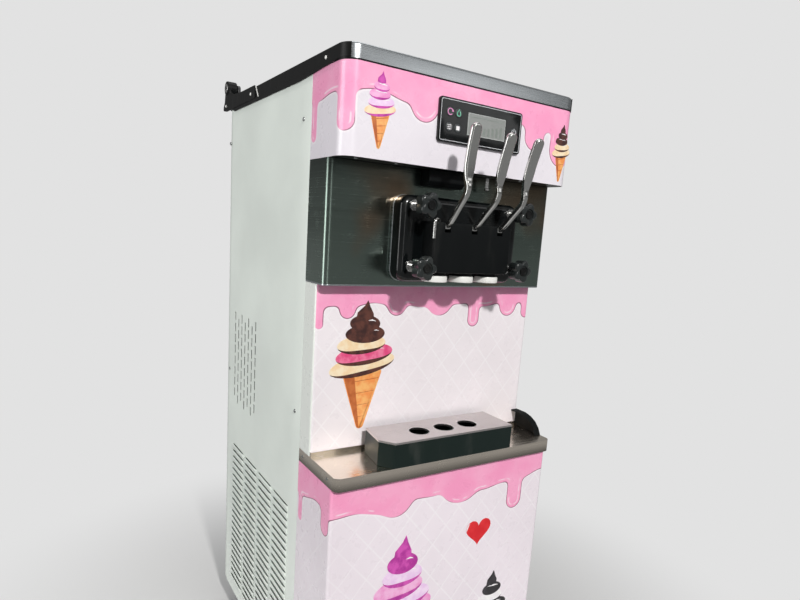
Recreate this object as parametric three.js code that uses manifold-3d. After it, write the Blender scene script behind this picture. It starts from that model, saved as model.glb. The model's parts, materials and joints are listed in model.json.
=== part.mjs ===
// Floor-standing soft serve machine: two mix hoppers, two freezing cylinders and one
// dispensing head with three draw levers (two flavours and their twist).
// Millimetres. +X is the operator's right, -Y the front, +Z up, z = 0 the floor.
// The origin is on the floor, under the middle of the machine's overall box.

import * as THREE from 'three';
import { mergeVertices } from 'three/addons/utils/BufferGeometryUtils.js';
import Module from 'manifold-3d';

// ---------------------------------------------------------------- driving dimensions

const GAP = 0.3; // clearance between neighbouring pieces
const SHEET = 1.5; // sheet-metal thickness

// Cabinet. Depths of the front pieces are measured forward from the side panels' front edge.
const HALF_WIDTH = 270;
const SIDE_FRONT = -165;
const SIDE_DEPTH = 532.5;
const REAR = SIDE_FRONT + SIDE_DEPTH;
const BODY_BOTTOM = 80;
const LOWER_TOP = 634.4;
const SHELF_TOP = 661;
const BAND_BOTTOM = 999;
const HEADER_BOTTOM = 1224.5;
const HEADER_TOP = 1377.3;
const COVER_TOP = 1405.5;
const HEADER_FRONT = SIDE_FRONT - 136;
const BAND_FRONT = SIDE_FRONT - 82.6;
const MID_FRONT = SIDE_FRONT - 52.7;
const SHELF_FRONT = SIDE_FRONT - 169.7;
const LOWER_FRONT = SIDE_FRONT - 155.6;
const HEADER_RADIUS = 28;
const REAR_RADIUS = 22;

// Ventilation: four columns of louvres low on each side, and a staggered field of upright
// slots above them on the left.
const LOUVRE_TOP = 512;
const LOUVRE_PITCH = 17.5;
const LOUVRE_ROWS = 23;
const LOUVRE_COLUMNS = 4;
const LOUVRE_LENGTH = 88;
const LOUVRE_OPENING = 5;
const VENT_ROWS = 8;
const VENT_COLUMNS = 7;
const VENT_TOP = 870;
const VENT_PITCH = [27, 29];

// Control panel on the header.
const PANEL_X = [-84.5, 115.5];
const PANEL_Z = [1271.5, 1350];
const PANEL_THICKNESS = 6;
const DISPLAY_X = [-19.5, 73.5];
const DISPLAY_Z = [1290, 1331.5];
const BUTTON_RADIUS = 8;
const BUTTONS = {
  auto_button: [-61.5, 1325.5],
  wash_button: [-42, 1325.5],
  set_button: [-61.5, 1299],
  stop_button: [-42, 1299],
  power_button: [94.5, 1311],
};

// Freezing cylinders, dashers and drives.
const HEAD_X = 8;
const CYLINDER_SPACING = 120;
const CYLINDER_Z = 1098;
const CYLINDER_OUTER = 52;
const CYLINDER_INNER = 46;
const CYLINDER_REAR = SIDE_FRONT + 180;
const SHAFT_RADIUS = 8;
const MACHINE_DECK_TOP = 1038;
const CYLINDER_X = [-1, 1].map((side) => HEAD_X + (side * CYLINDER_SPACING) / 2);

// Dispensing head.
const FLANGE_HALF = 144;
const FLANGE_Z = [1012, 1174];
const FLANGE_BACK = BAND_FRONT - 1.2;
const FLANGE_FRONT = SIDE_FRONT - 120;
const BLOCK_HALF = 94;
const BLOCK_Z = [1033, 1128];
const BLOCK_FRONT = SIDE_FRONT - 157;
const LEVER_X = [-64, 0, 64].map((offset) => HEAD_X + offset);
const PLUNGER_Y = SIDE_FRONT - 123;
const PLUNGER_RADIUS = 9;
const NOZZLE_RADIUS = 25;
const NOZZLE_BOTTOM = 1014;
const PIVOT_Y = SIDE_FRONT - 150;
const PIVOT_Z = 1120;
const PIN_RADIUS = 3;
const SLOT_HALF = 7;
const SLOT_FLOOR = 1098;
const NOTCH_FLOOR = 1109;
const SCREW_SPACING_X = 236;
const SCREW_Z = [1042, 1155];
const KNOB_RADIUS = 20.2;
const KNOB_LOBE = 3;

// Draw levers: a square bar that widens into a thick, round-ended paddle. The short arm that
// lifts the plunger starts below level, so its lift is even.
const BAR_WIDTH = 10;
const LEVER_THICKNESS = 10.5;
const PADDLE_WIDTH = 22;
const PADDLE_RISE = [66, 106];
const BOSS_WIDTH = 12;
const ARM_THICKNESS = 5;
const ARM_LENGTH = 27;
const ARM_ANGLE = -22.5;
const LEVER_LEAN = [-5, 2, 3];

// Drip tray on the shelf.
const TRAY_TOP = 713;
const TRAY_OUTLINE = [[-170, -143], [-148, -171], [145, -171], [145, -73], [-160, -73]];
const TRAY_HOLES_X = [-68, -7, 54];
const TRAY_HOLE_Y = SIDE_FRONT - 129;
const TRAY_HOLE_RADIUS = 21;

// Top cover and its rear hinge.
const COVER_REAR = SIDE_FRONT + 528;
const HINGE_Y = SIDE_FRONT + 545;
const HINGE_Z = 1434;

// Hoppers under the cover.
const DECK_TOP = 1362;
const HOPPER_X = [12, 248];
const HOPPER_Y = [SIDE_FRONT - 96, SIDE_FRONT + 230];
const HOPPER_BOTTOM = 1236;

// Refrigeration: condenser, fan and compressor stand on the base tray.
const BASE_FLOOR = BODY_BOTTOM + 2 + GAP;
const CONDENSER_TOP = 500;
const CONDENSER_X = [-251.5, -209];
const CONDENSER_Y = [SIDE_FRONT + 60, SIDE_FRONT + 440];
const FAN_AT = [0, SIDE_FRONT + 250, 300];
const COMPRESSOR_AT = [120, SIDE_FRONT + 330, 0];

// Casters.
const WHEEL_RADIUS = 30;
const WHEEL_HALF_WIDTH = 12;
const CASTER_TRAIL = 22;
const CASTER_X = 215;
const CASTER_Y = [SIDE_FRONT - 100, REAR - 70];

// ---------------------------------------------------------------- solids and booleans

const wasm = await Module();
wasm.setup();

// Merges shared corners, drops flat slivers at a lathe's poles and turns the faces outwards.
function closed(geometry) {
  geometry.deleteAttribute('normal');
  geometry.deleteAttribute('uv');
  const merged = mergeVertices(geometry, 1e-4);
  const position = merged.getAttribute('position');
  const index = merged.getIndex().array;
  const corners = [0, 1, 2].map(() => new THREE.Vector3());
  const kept = [];
  let volume = 0;
  for (let i = 0; i < index.length; i += 3) {
    const [a, b, c] = [index[i], index[i + 1], index[i + 2]];
    if (a === b || b === c || c === a) {
      continue;
    }
    kept.push(a, b, c);
    [a, b, c].forEach((vertex, k) => corners[k].fromBufferAttribute(position, vertex));
    volume += corners[0].dot(corners[1].cross(corners[2]));
  }
  if (volume < 0) {
    for (let i = 0; i < kept.length; i += 3) {
      [kept[i + 1], kept[i + 2]] = [kept[i + 2], kept[i + 1]];
    }
  }
  merged.setIndex(kept);
  return merged;
}

function toSolid(geometry) {
  const mesh = new wasm.Mesh({
    numProp: 3,
    vertProperties: new Float32Array(geometry.getAttribute('position').array),
    triVerts: new Uint32Array(geometry.getIndex().array),
  });
  return new wasm.Manifold(mesh);
}

function toGeometry(solid) {
  const mesh = solid.getMesh();
  const geometry = new THREE.BufferGeometry();
  geometry.setAttribute('position', new THREE.BufferAttribute(mesh.vertProperties, 3));
  geometry.setIndex(new THREE.BufferAttribute(mesh.triVerts, 1));
  return geometry;
}

function join(first, ...others) {
  return toGeometry(others.reduce((solid, other) => solid.add(toSolid(other)), toSolid(first)));
}

function cut(base, ...tools) {
  return toGeometry(tools.reduce((solid, tool) => solid.subtract(toSolid(tool)), toSolid(base)));
}

function overlap(first, second) {
  return toGeometry(toSolid(first).intersect(toSolid(second)));
}

// ---------------------------------------------------------------- basic shapes

function box([x0, x1], [y0, y1], [z0, z1]) {
  const geometry = new THREE.BoxGeometry(x1 - x0, y1 - y0, z1 - z0);
  geometry.translate((x0 + x1) / 2, (y0 + y1) / 2, (z0 + z1) / 2);
  return closed(geometry);
}

function extrusion(points, length) {
  const shape = new THREE.Shape(points.map(([a, b]) => new THREE.Vector2(a, b)));
  return new THREE.ExtrudeGeometry(shape, { depth: length, bevelEnabled: false });
}

// Prism standing on an (x, y) outline.
function prismZ(points, [z0, z1]) {
  const geometry = extrusion(points, z1 - z0);
  geometry.translate(0, 0, z0);
  return closed(geometry);
}

// Prism lying along X, with a (y, z) outline.
function prismX(points, [x0, x1]) {
  const geometry = extrusion(points, x1 - x0);
  geometry.applyMatrix4(new THREE.Matrix4().set(0, 0, 1, x0, 1, 0, 0, 0, 0, 1, 0, 0, 0, 0, 0, 1));
  return closed(geometry);
}

// Prism lying along Y, with an (x, z) outline.
function prismY(points, [y0, y1]) {
  const geometry = extrusion(points, y1 - y0);
  geometry.applyMatrix4(new THREE.Matrix4().set(1, 0, 0, 0, 0, 0, -1, y1, 0, 1, 0, 0, 0, 0, 0, 1));
  return closed(geometry);
}

// Body of revolution about an axis through the given point; the profile is (radius, height).
function turned(profile, axis, at, segments = 24) {
  const points = profile.map(([r, h]) => new THREE.Vector2(r, h));
  const geometry = new THREE.LatheGeometry(points, segments);
  const direction = { x: [1, 0, 0], y: [0, 1, 0], z: [0, 0, 1] }[axis];
  const turn = new THREE.Quaternion();
  turn.setFromUnitVectors(new THREE.Vector3(0, 1, 0), new THREE.Vector3(...direction));
  geometry.applyQuaternion(turn);
  geometry.translate(...at);
  return closed(geometry);
}

function cylinder(radius, [from, to], axis, at, segments = 24) {
  return turned([[0, from], [radius, from], [radius, to], [0, to]], axis, at, segments);
}

function ring(inner, outer, [from, to], axis, at, segments = 24) {
  const profile = [[inner, from], [outer, from], [outer, to], [inner, to], [inner, from]];
  return turned(profile, axis, at, segments);
}

function arc(centreA, centreB, radius, startDegrees, endDegrees, segments) {
  const points = [];
  for (let i = 0; i <= segments; i += 1) {
    const angle = THREE.MathUtils.degToRad(
      startDegrees + ((endDegrees - startDegrees) * i) / segments,
    );
    points.push([centreA + radius * Math.cos(angle), centreB + radius * Math.sin(angle)]);
  }
  return points;
}

function roundedRectangle([a0, a1], [b0, b1], radius, segments = 4) {
  return [
    ...arc(a0 + radius, b0 + radius, radius, 180, 270, segments),
    ...arc(a1 - radius, b0 + radius, radius, 270, 360, segments),
    ...arc(a1 - radius, b1 - radius, radius, 0, 90, segments),
    ...arc(a0 + radius, b1 - radius, radius, 90, 180, segments),
  ];
}

// Strip of even thickness along a polyline, with mitred bends.
function ribbon(points, thickness) {
  const sides = [[], []];
  points.forEach((point, i) => {
    const before = points[Math.max(i - 1, 0)];
    const after = points[Math.min(i + 1, points.length - 1)];
    const tangents = [];
    if (i > 0) {
      tangents.push(unit([point[0] - before[0], point[1] - before[1]]));
    }
    if (i < points.length - 1) {
      tangents.push(unit([after[0] - point[0], after[1] - point[1]]));
    }
    const first = tangents[0];
    const last = tangents[tangents.length - 1];
    const tangent = unit([first[0] + last[0], first[1] + last[1]]);
    const reach = thickness / 2 / (tangent[0] * first[0] + tangent[1] * first[1]);
    sides[0].push([point[0] - tangent[1] * reach, point[1] + tangent[0] * reach]);
    sides[1].push([point[0] + tangent[1] * reach, point[1] - tangent[0] * reach]);
  });
  return [...sides[0], ...sides[1].reverse()];
}

function unit([a, b]) {
  const length = Math.hypot(a, b);
  return [a / length, b / length];
}

// ---------------------------------------------------------------- finishes and assembly

const finishes = {
  sidePaint: { color: 0xcbd3cb, roughness: 0.45, metalness: 0 },
  frontPaint: { color: 0xf2eaf0, roughness: 0.35, metalness: 0 },
  headerPaint: { color: 0xf6bfd6, roughness: 0.35, metalness: 0 },
  stainless: { color: 0x8f938f, roughness: 0.3, metalness: 1 },
  trim: { color: 0xa6aaac, roughness: 0.25, metalness: 1 },
  plated: { color: 0xc8c8c6, roughness: 0.2, metalness: 1 },
  zincSheet: { color: 0x9aa0a2, roughness: 0.5, metalness: 1 },
  blackGloss: { color: 0x15181a, roughness: 0.2, metalness: 0 },
  blackPlastic: { color: 0x1c1f20, roughness: 0.55, metalness: 0 },
  display: { color: 0x9aa39a, roughness: 0.15, metalness: 0 },
  button: { color: 0xd9d3d6, roughness: 0.4, metalness: 0 },
  whitePlastic: { color: 0xe8e8e4, roughness: 0.5, metalness: 0 },
  foam: { color: 0xd8cfae, roughness: 0.9, metalness: 0 },
  blackSteel: { color: 0x202224, roughness: 0.5, metalness: 0 },
  tyre: { color: 0x3a3a3c, roughness: 0.7, metalness: 0 },
};

const group = new THREE.Group();

function add(name, geometry, finish) {
  const shaded = geometry.toNonIndexed();
  shaded.computeVertexNormals();
  const mesh = new THREE.Mesh(shaded, new THREE.MeshStandardMaterial(finishes[finish]));
  mesh.name = name;
  group.add(mesh);
}

// ---------------------------------------------------------------- cabinet sheet metal

// Sheet that wraps the cabinet's front from one side face round to the other.
function frontWrap(front, radius, heights) {
  const back = SIDE_FRONT - GAP;
  const inside = HALF_WIDTH - SHEET;
  const outer = [
    [HALF_WIDTH, back],
    ...arc(HALF_WIDTH - radius, front + radius, radius, 0, -90, 6),
    ...arc(-HALF_WIDTH + radius, front + radius, radius, -90, -180, 6),
    [-HALF_WIDTH, back],
  ];
  const inner = [
    [-inside, back],
    ...arc(-HALF_WIDTH + radius, front + radius, radius - SHEET, 180, 270, 6),
    ...arc(HALF_WIDTH - radius, front + radius, radius - SHEET, 270, 360, 6),
    [inside, back],
  ];
  return prismZ([...outer, ...inner], heights);
}

function ventSlots(side) {
  const across = side < 0 ? [-HALF_WIDTH - 2, -HALF_WIDTH + 4] : [HALF_WIDTH - 4, HALF_WIDTH + 2];
  const slots = [];
  for (let column = 0; column < LOUVRE_COLUMNS; column += 1) {
    const y = SIDE_FRONT + 52 + column * (LOUVRE_LENGTH + 16);
    for (let row = 0; row < LOUVRE_ROWS; row += 1) {
      const z = LOUVRE_TOP - row * LOUVRE_PITCH;
      slots.push(box(across, [y, y + LOUVRE_LENGTH], [z - LOUVRE_OPENING, z]));
    }
  }
  for (let column = 0; side < 0 && column < VENT_COLUMNS; column += 1) {
    const y = SIDE_FRONT + 286 + column * VENT_PITCH[0];
    const drop = column % 2 === 0 ? 0 : VENT_PITCH[1] / 2;
    for (let row = 0; row < VENT_ROWS; row += 1) {
      const z = VENT_TOP - row * VENT_PITCH[1] - drop;
      slots.push(box(across, [y, y + 8], [z - 22, z]));
    }
  }
  return slots;
}

// Side panel: a flat face with a return at the front and a rounded rear corner.
function sidePanel(side) {
  const outside = HALF_WIDTH * side;
  const inside = (HALF_WIDTH - SHEET) * side;
  const corner = (HALF_WIDTH - REAR_RADIUS) * side;
  const [start, end] = side < 0 ? [180, 90] : [0, 90];
  const outline = [
    [outside - side * 15, SIDE_FRONT],
    [outside, SIDE_FRONT],
    ...arc(corner, REAR - REAR_RADIUS, REAR_RADIUS, start, end, 5),
    [outside - side * 30, REAR],
    [outside - side * 30, REAR - SHEET],
    ...arc(corner, REAR - REAR_RADIUS, REAR_RADIUS - SHEET, end, start, 5),
    [inside, SIDE_FRONT + SHEET],
    [outside - side * 15, SIDE_FRONT + SHEET],
  ];
  return cut(prismZ(outline, [BODY_BOTTOM, HEADER_TOP]), ...ventSlots(side));
}

function backPanel() {
  const half = HALF_WIDTH - 30 - GAP;
  const plate = box([-half, half], [REAR - SHEET, REAR], [BODY_BOTTOM + 26, HEADER_TOP]);
  const slots = [];
  [-150, 20].forEach((x) => {
    for (let row = 0; row < 12; row += 1) {
      const z = 480 - row * 26;
      slots.push(box([x, x + 130], [REAR - 4, REAR + 2], [z - 6, z]));
    }
  });
  return cut(plate, ...slots);
}

// Header: wrap with a floor that closes it underneath, where it overhangs the splash band.
function headerPanel() {
  const half = HALF_WIDTH - 0.5;
  const front = HEADER_FRONT + HEADER_RADIUS;
  const floor = prismZ(
    [
      ...arc(-half + HEADER_RADIUS, front, HEADER_RADIUS - 0.5, 180, 270, 6),
      ...arc(half - HEADER_RADIUS, front, HEADER_RADIUS - 0.5, 270, 360, 6),
      [half, BAND_FRONT + 20],
      [-half, BAND_FRONT + 20],
    ],
    [HEADER_BOTTOM, HEADER_BOTTOM + SHEET],
  );
  return join(frontWrap(HEADER_FRONT, HEADER_RADIUS, [HEADER_BOTTOM, HEADER_TOP]), floor);
}

function splashBand() {
  const half = HALF_WIDTH - 1;
  const lip = box([-half, half], [BAND_FRONT + 1, MID_FRONT + 6], [BAND_BOTTOM, BAND_BOTTOM + SHEET]);
  const wrap = frontWrap(BAND_FRONT, 10, [BAND_BOTTOM, HEADER_BOTTOM - GAP]);
  const holes = [-1, 1].map((side) =>
    cylinder(
      CYLINDER_OUTER + GAP,
      [-4, 4],
      'y',
      [HEAD_X + (side * CYLINDER_SPACING) / 2, BAND_FRONT, CYLINDER_Z],
    ),
  );
  return cut(join(wrap, lip), ...holes);
}

function dripShelf() {
  const back = SIDE_FRONT - GAP;
  const outline = (inset) => [
    [-HALF_WIDTH + inset, back - inset],
    ...arc(-HALF_WIDTH + 14, SHELF_FRONT + 14, 14 - inset, 180, 270, 5),
    ...arc(HALF_WIDTH - 14, SHELF_FRONT + 14, 14 - inset, 270, 360, 5),
    [HALF_WIDTH - inset, back - inset],
  ];
  const shell = prismZ(outline(0), [LOWER_TOP + GAP, SHELF_TOP]);
  return cut(shell, prismZ(outline(SHEET), [LOWER_TOP - 5, SHELF_TOP - 2]));
}

// Guard at the shelf's right end: a plate with a curved top edge turned inwards.
function splashGuard() {
  const foot = SHELF_TOP + GAP;
  const back = MID_FRONT - GAP;
  const edge = [
    [back, 699],
    [SIDE_FRONT - 84, 699],
    [SIDE_FRONT - 102, 695],
    [SIDE_FRONT - 118, 687],
    [SIDE_FRONT - 130, 675],
    [SIDE_FRONT - 137, foot],
  ];
  const plate = prismX([[back, foot], ...edge], [HALF_WIDTH - 4, HALF_WIDTH - 0.5]);
  const flange = prismX(ribbon(edge, 3), [HALF_WIDTH - 18, HALF_WIDTH - 1]);
  const trimmed = overlap(flange, box([0, 400], [-400, back], [foot, 800]));
  return join(plate, trimmed);
}

// Outline of a floor that fills the cabinet, clear of the side panels' front returns and
// rounded rear corners.
function floorOutline(front) {
  const half = HALF_WIDTH - 2;
  const right = [
    [half - 5, front],
    [half, front + 5],
    [half, SIDE_FRONT - 0.5],
    [half - 14, SIDE_FRONT - 0.5],
    [half - 14, SIDE_FRONT + 2],
    [half, SIDE_FRONT + 2],
    [half, REAR - REAR_RADIUS - 2],
    [half - 20, REAR - 4],
  ];
  const left = right.map(([x, y]) => [-x, y]).reverse();
  return [...right, ...left];
}

function baseTray() {
  const shell = prismZ(floorOutline(LOWER_FRONT + 2), [BODY_BOTTOM, BODY_BOTTOM + 24]);
  const half = HALF_WIDTH - 18;
  const pocket = box(
    [-half, half],
    [LOWER_FRONT + 8, REAR - 14],
    [BODY_BOTTOM + 2, BODY_BOTTOM + 40],
  );
  return cut(shell, pocket);
}

add('base_tray', baseTray(), 'zincSheet');
add('left_side_panel', sidePanel(-1), 'sidePaint');
add('right_side_panel', sidePanel(1), 'sidePaint');
add('back_panel', backPanel(), 'sidePaint');
add('header_panel', headerPanel(), 'headerPaint');
add('splash_band', splashBand(), 'stainless');
add('mid_panel', frontWrap(MID_FRONT, 6, [SHELF_TOP + GAP, BAND_BOTTOM - GAP]), 'frontPaint');
add('drip_shelf', dripShelf(), 'stainless');
add('splash_guard', splashGuard(), 'blackPlastic');
add('lower_front_panel', frontWrap(LOWER_FRONT, 6, [BODY_BOTTOM, LOWER_TOP]), 'frontPaint');

// ---------------------------------------------------------------- control panel

function controlBezel() {
  const front = HEADER_FRONT - GAP - PANEL_THICKNESS;
  const plate = prismY(roundedRectangle(PANEL_X, PANEL_Z, 6), [front, HEADER_FRONT - GAP]);
  const recess = box(DISPLAY_X, [front - 1, front + 2], DISPLAY_Z);
  const holes = Object.values(BUTTONS).map(([x, z]) =>
    cylinder(BUTTON_RADIUS + GAP, [-10, 10], 'y', [x, HEADER_FRONT, z], 12),
  );
  return cut(plate, recess, ...holes);
}

function displayWindow() {
  const front = HEADER_FRONT - GAP - PANEL_THICKNESS;
  return box(
    [DISPLAY_X[0] + GAP, DISPLAY_X[1] - GAP],
    [front + 0.2, front + 2 - GAP],
    [DISPLAY_Z[0] + GAP, DISPLAY_Z[1] - GAP],
  );
}

add('control_bezel', controlBezel(), 'blackGloss');
add('display_window', displayWindow(), 'display');
Object.entries(BUTTONS).forEach(([name, [x, z]]) => {
  const front = HEADER_FRONT - GAP - PANEL_THICKNESS - 1.2;
  const profile = [
    [0, 0],
    [BUTTON_RADIUS - 1, 0],
    [BUTTON_RADIUS, 0.8],
    [BUTTON_RADIUS, 4.2],
    [0, 4.2],
  ];
  add(name, turned(profile, 'y', [x, front, z], 12), 'button');
});

// ---------------------------------------------------------------- hoppers and top cover

function hopper(side) {
  const across = HOPPER_X.map((x) => x * side).sort((a, b) => a - b);
  const shrink = ([a, b], by) => [a + by, b - by];
  const tub = prismZ(roundedRectangle(across, HOPPER_Y, 20), [HOPPER_BOTTOM, DECK_TOP + 1]);
  const rim = prismZ(
    roundedRectangle(shrink(across, -6), shrink(HOPPER_Y, -6), 8),
    [DECK_TOP + GAP, DECK_TOP + 2],
  );
  const hollow = prismZ(
    roundedRectangle(shrink(across, 2), shrink(HOPPER_Y, 2), 18),
    [HOPPER_BOTTOM + 2, DECK_TOP + 20],
  );
  return cut(join(tub, rim), hollow);
}

function hopperDeck() {
  const plate = prismZ(floorOutline(HEADER_FRONT + HEADER_RADIUS), [DECK_TOP - 2, DECK_TOP]);
  const [x0, x1] = HOPPER_X;
  const along = [HOPPER_Y[0] - 1, HOPPER_Y[1] + 1];
  const openings = [[-x1 - 1, -x0 + 1], [x0 - 1, x1 + 1]].map((across) =>
    prismZ(roundedRectangle(across, along, 20), [DECK_TOP - 10, DECK_TOP + 10]),
  );
  return cut(plate, ...openings);
}

// Cover: a shallow cap whose side arms run back to barrels on the hinge pins.
function topCover() {
  const corner = HALF_WIDTH - HEADER_RADIUS;
  const front = HEADER_FRONT + HEADER_RADIUS;
  const outline = (inset) => [
    ...arc(-corner, front, HEADER_RADIUS - inset, 180, 270, 6),
    ...arc(corner, front, HEADER_RADIUS - inset, 270, 360, 6),
    ...arc(HALF_WIDTH - 8, COVER_REAR - 8, 8 - inset, 0, 90, 3),
    ...arc(-HALF_WIDTH + 8, COVER_REAR - 8, 8 - inset, 90, 180, 3),
  ];
  const bottom = HEADER_TOP + GAP;
  let cover = cut(
    prismZ(outline(0), [bottom, COVER_TOP]),
    prismZ(outline(SHEET), [bottom - 5, COVER_TOP - SHEET]),
  );
  const arm = [
    [SIDE_FRONT + 325, bottom + 1.2],
    [SIDE_FRONT + 556, bottom + 1.2],
    [SIDE_FRONT + 578, 1384],
    [SIDE_FRONT + 566, 1402],
    ...arc(HINGE_Y, HINGE_Z, 17, -20, 180, 8),
    [SIDE_FRONT + 520, 1421],
    [SIDE_FRONT + 490, 1412],
    [SIDE_FRONT + 440, COVER_TOP + 2.5],
    [SIDE_FRONT + 325, COVER_TOP + 1.5],
  ];
  [-1, 1].forEach((side) => {
    const plate = [side * (HALF_WIDTH - 0.5), side * (HALF_WIDTH + 4)].sort((a, b) => a - b);
    const barrel = [side * (HALF_WIDTH - 18), side * (HALF_WIDTH + 6)].sort((a, b) => a - b);
    const at = [0, HINGE_Y, HINGE_Z];
    cover = join(cover, prismX(arm, plate), cylinder(17, barrel, 'x', at, 20));
    cover = cut(cover, cylinder(6 + GAP, [barrel[0] - 2, barrel[1] + 2], 'x', at, 12));
  });
  return cover;
}

// Fixed half of the hinge: a foot on the back panel, a lug and the pin.
function coverHinge(side) {
  const span = (near, far) => [side * near, side * far].sort((a, b) => a - b);
  const foot = box(span(210, 258), [REAR + GAP, REAR + 4], [1316, 1372]);
  const lug = prismX(
    [
      [REAR + GAP, 1320],
      [HINGE_Y + 6, 1352],
      ...arc(HINGE_Y, HINGE_Z, 11, 0, 180, 8),
      [REAR + GAP + 1.4, 1400],
    ],
    span(242, 249),
  );
  const pin = cylinder(6, span(244, HALF_WIDTH + 7), 'x', [0, HINGE_Y, HINGE_Z], 12);
  return join(foot, lug, pin);
}

add('hopper_deck', hopperDeck(), 'stainless');
add('left_hopper', hopper(-1), 'plated');
add('right_hopper', hopper(1), 'plated');
add('top_cover', topCover(), 'trim');
add('left_cover_hinge', coverHinge(-1), 'blackSteel');
add('right_cover_hinge', coverHinge(1), 'blackSteel');

// ---------------------------------------------------------------- freezing and driving parts

function freezingCylinder(x) {
  const at = [x, 0, CYLINDER_Z];
  const front = BAND_FRONT - 0.8;
  const profile = [
    [CYLINDER_INNER, front],
    [CYLINDER_OUTER, front],
    [CYLINDER_OUTER, CYLINDER_REAR],
    [SHAFT_RADIUS + GAP, CYLINDER_REAR],
    [SHAFT_RADIUS + GAP, CYLINDER_REAR - 5],
    [CYLINDER_INNER, CYLINDER_REAR - 5],
    [CYLINDER_INNER, front],
  ];
  return turned(profile, 'y', at);
}

// Dasher: a drive shaft with two spiders that carry a pair of scraper blades.
function dasher(x) {
  const start = BAND_FRONT + 12;
  const end = CYLINDER_REAR - 14;
  const shaft = cylinder(SHAFT_RADIUS, [start - 6, CYLINDER_REAR + 32], 'y', [x, 0, CYLINDER_Z], 16);
  const reach = CYLINDER_INNER - 4;
  const pieces = [start, (start + end) / 2, end - 8].map((y) =>
    box([x - 5, x + 5], [y, y + 8], [CYLINDER_Z - reach, CYLINDER_Z + reach]),
  );
  [-1, 1].forEach((side) => {
    const z = CYLINDER_Z + side * reach;
    pieces.push(box([x - 7, x + 7], [start, end], [z - 3, z + 2.5]));
  });
  return join(shaft, ...pieces);
}

function gearMotor(x) {
  const front = CYLINDER_REAR + 2;
  const gearbox = box([x - 50, x + 50], [front, front + 60], [MACHINE_DECK_TOP + GAP, CYLINDER_Z + 55]);
  const motor = cylinder(44, [front + 59, front + 200], 'y', [x, 0, CYLINDER_Z]);
  const cap = cylinder(30, [front + 199, front + 212], 'y', [x, 0, CYLINDER_Z]);
  const bore = cylinder(SHAFT_RADIUS + GAP, [front - 5, front + 34], 'y', [x, 0, CYLINDER_Z], 16);
  return cut(join(gearbox, motor, cap), bore);
}

function insulationBlock() {
  const block = box(
    [HEAD_X - 122, HEAD_X + 122],
    [BAND_FRONT + 4, CYLINDER_REAR - 2],
    [MACHINE_DECK_TOP + GAP, 1160],
  );
  const bores = CYLINDER_X.map((x) =>
    cylinder(CYLINDER_OUTER + GAP, [BAND_FRONT - 10, CYLINDER_REAR + 10], 'y', [x, 0, CYLINDER_Z]),
  );
  return cut(block, ...bores);
}

function machineDeck() {
  return box(
    [-HALF_WIDTH + 3, HALF_WIDTH - 3],
    [SIDE_FRONT + 2, REAR - 40],
    [MACHINE_DECK_TOP - 2, MACHINE_DECK_TOP],
  );
}

function compressor() {
  const [x, y] = COMPRESSOR_AT;
  const shell = turned(
    [[0, 92], [62, 92], [78, 108], [80, 190], [76, 236], [50, 262], [0, 268]],
    'z',
    COMPRESSOR_AT,
  );
  const feet = box([x - 90, x + 90], [y - 60, y + 60], [BASE_FLOOR, 95]);
  const stub = cylinder(6, [60, 110], 'x', [x, y, 210], 12);
  return join(shell, feet, stub);
}

// Condenser: a finned pack behind the left louvres, open between the fins.
function condenser() {
  const [x0, x1] = CONDENSER_X;
  const [front, rear] = CONDENSER_Y;
  const outline = [[x1, rear], [x1, front]];
  const fins = 15;
  const pitch = (rear - front) / (2 * fins - 1);
  for (let i = 0; i < fins; i += 1) {
    const y = front + 2 * i * pitch;
    const root = x1 - 10;
    if (i > 0) {
      outline.push([root, y]);
    }
    outline.push([x0, y], [x0, y + pitch]);
    if (i < fins - 1) {
      outline.push([root, y + pitch]);
    }
  }
  return prismZ(outline, [BASE_FLOOR, CONDENSER_TOP]);
}

function fanShroud() {
  const [front, rear] = CONDENSER_Y;
  const plate = box([-198, -194], [front + 10, rear - 10], [BASE_FLOOR, CONDENSER_TOP]);
  const opened = cut(plate, cylinder(122, [-210, -180], 'x', FAN_AT));
  const beam = box([-182, -172], [FAN_AT[1] - 136, FAN_AT[1] + 136], [FAN_AT[2] - 8, FAN_AT[2] + 8]);
  const posts = [-1, 1].map((side) => {
    const y = FAN_AT[1] + side * 130;
    return box([-195, -173], [y - 6, y + 6], [FAN_AT[2] - 8, FAN_AT[2] + 8]);
  });
  const motor = cylinder(32, [-183, -130], 'x', FAN_AT);
  const shaft = cylinder(5, [-202, -180], 'x', FAN_AT, 12);
  return join(opened, beam, ...posts, motor, shaft);
}

function condenserFan() {
  let fan = ring(5 + GAP, 26, [-206, -188], 'x', FAN_AT, 20);
  for (let i = 0; i < 5; i += 1) {
    const blade = new THREE.BoxGeometry(3, 52, 88);
    blade.rotateZ(THREE.MathUtils.degToRad(18));
    blade.translate(0, 0, 66);
    blade.rotateX((i * 2 * Math.PI) / 5);
    blade.translate(-197, FAN_AT[1], FAN_AT[2]);
    fan = join(fan, closed(blade));
  }
  return fan;
}

function powerInlet() {
  const frame = box([-200, -140], [REAR + GAP, REAR + 9], [150, 192]);
  const recess = box([-190, -150], [REAR + 4, REAR + 20], [158, 184]);
  return cut(frame, recess);
}

add('machine_deck', machineDeck(), 'zincSheet');
add('insulation_block', insulationBlock(), 'foam');
CYLINDER_X.forEach((x, i) => {
  const side = ['left', 'right'][i];
  add(`${side}_freezing_cylinder`, freezingCylinder(x), 'plated');
  add(`${side}_dasher`, dasher(x), 'plated');
  add(`${side}_gear_motor`, gearMotor(x), 'blackSteel');
});
add('compressor', compressor(), 'blackSteel');
add('condenser', condenser(), 'zincSheet');
add('fan_shroud', fanShroud(), 'zincSheet');
add('condenser_fan', condenserFan(), 'blackPlastic');
add('power_inlet', powerInlet(), 'blackPlastic');

// ---------------------------------------------------------------- dispensing head

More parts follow.
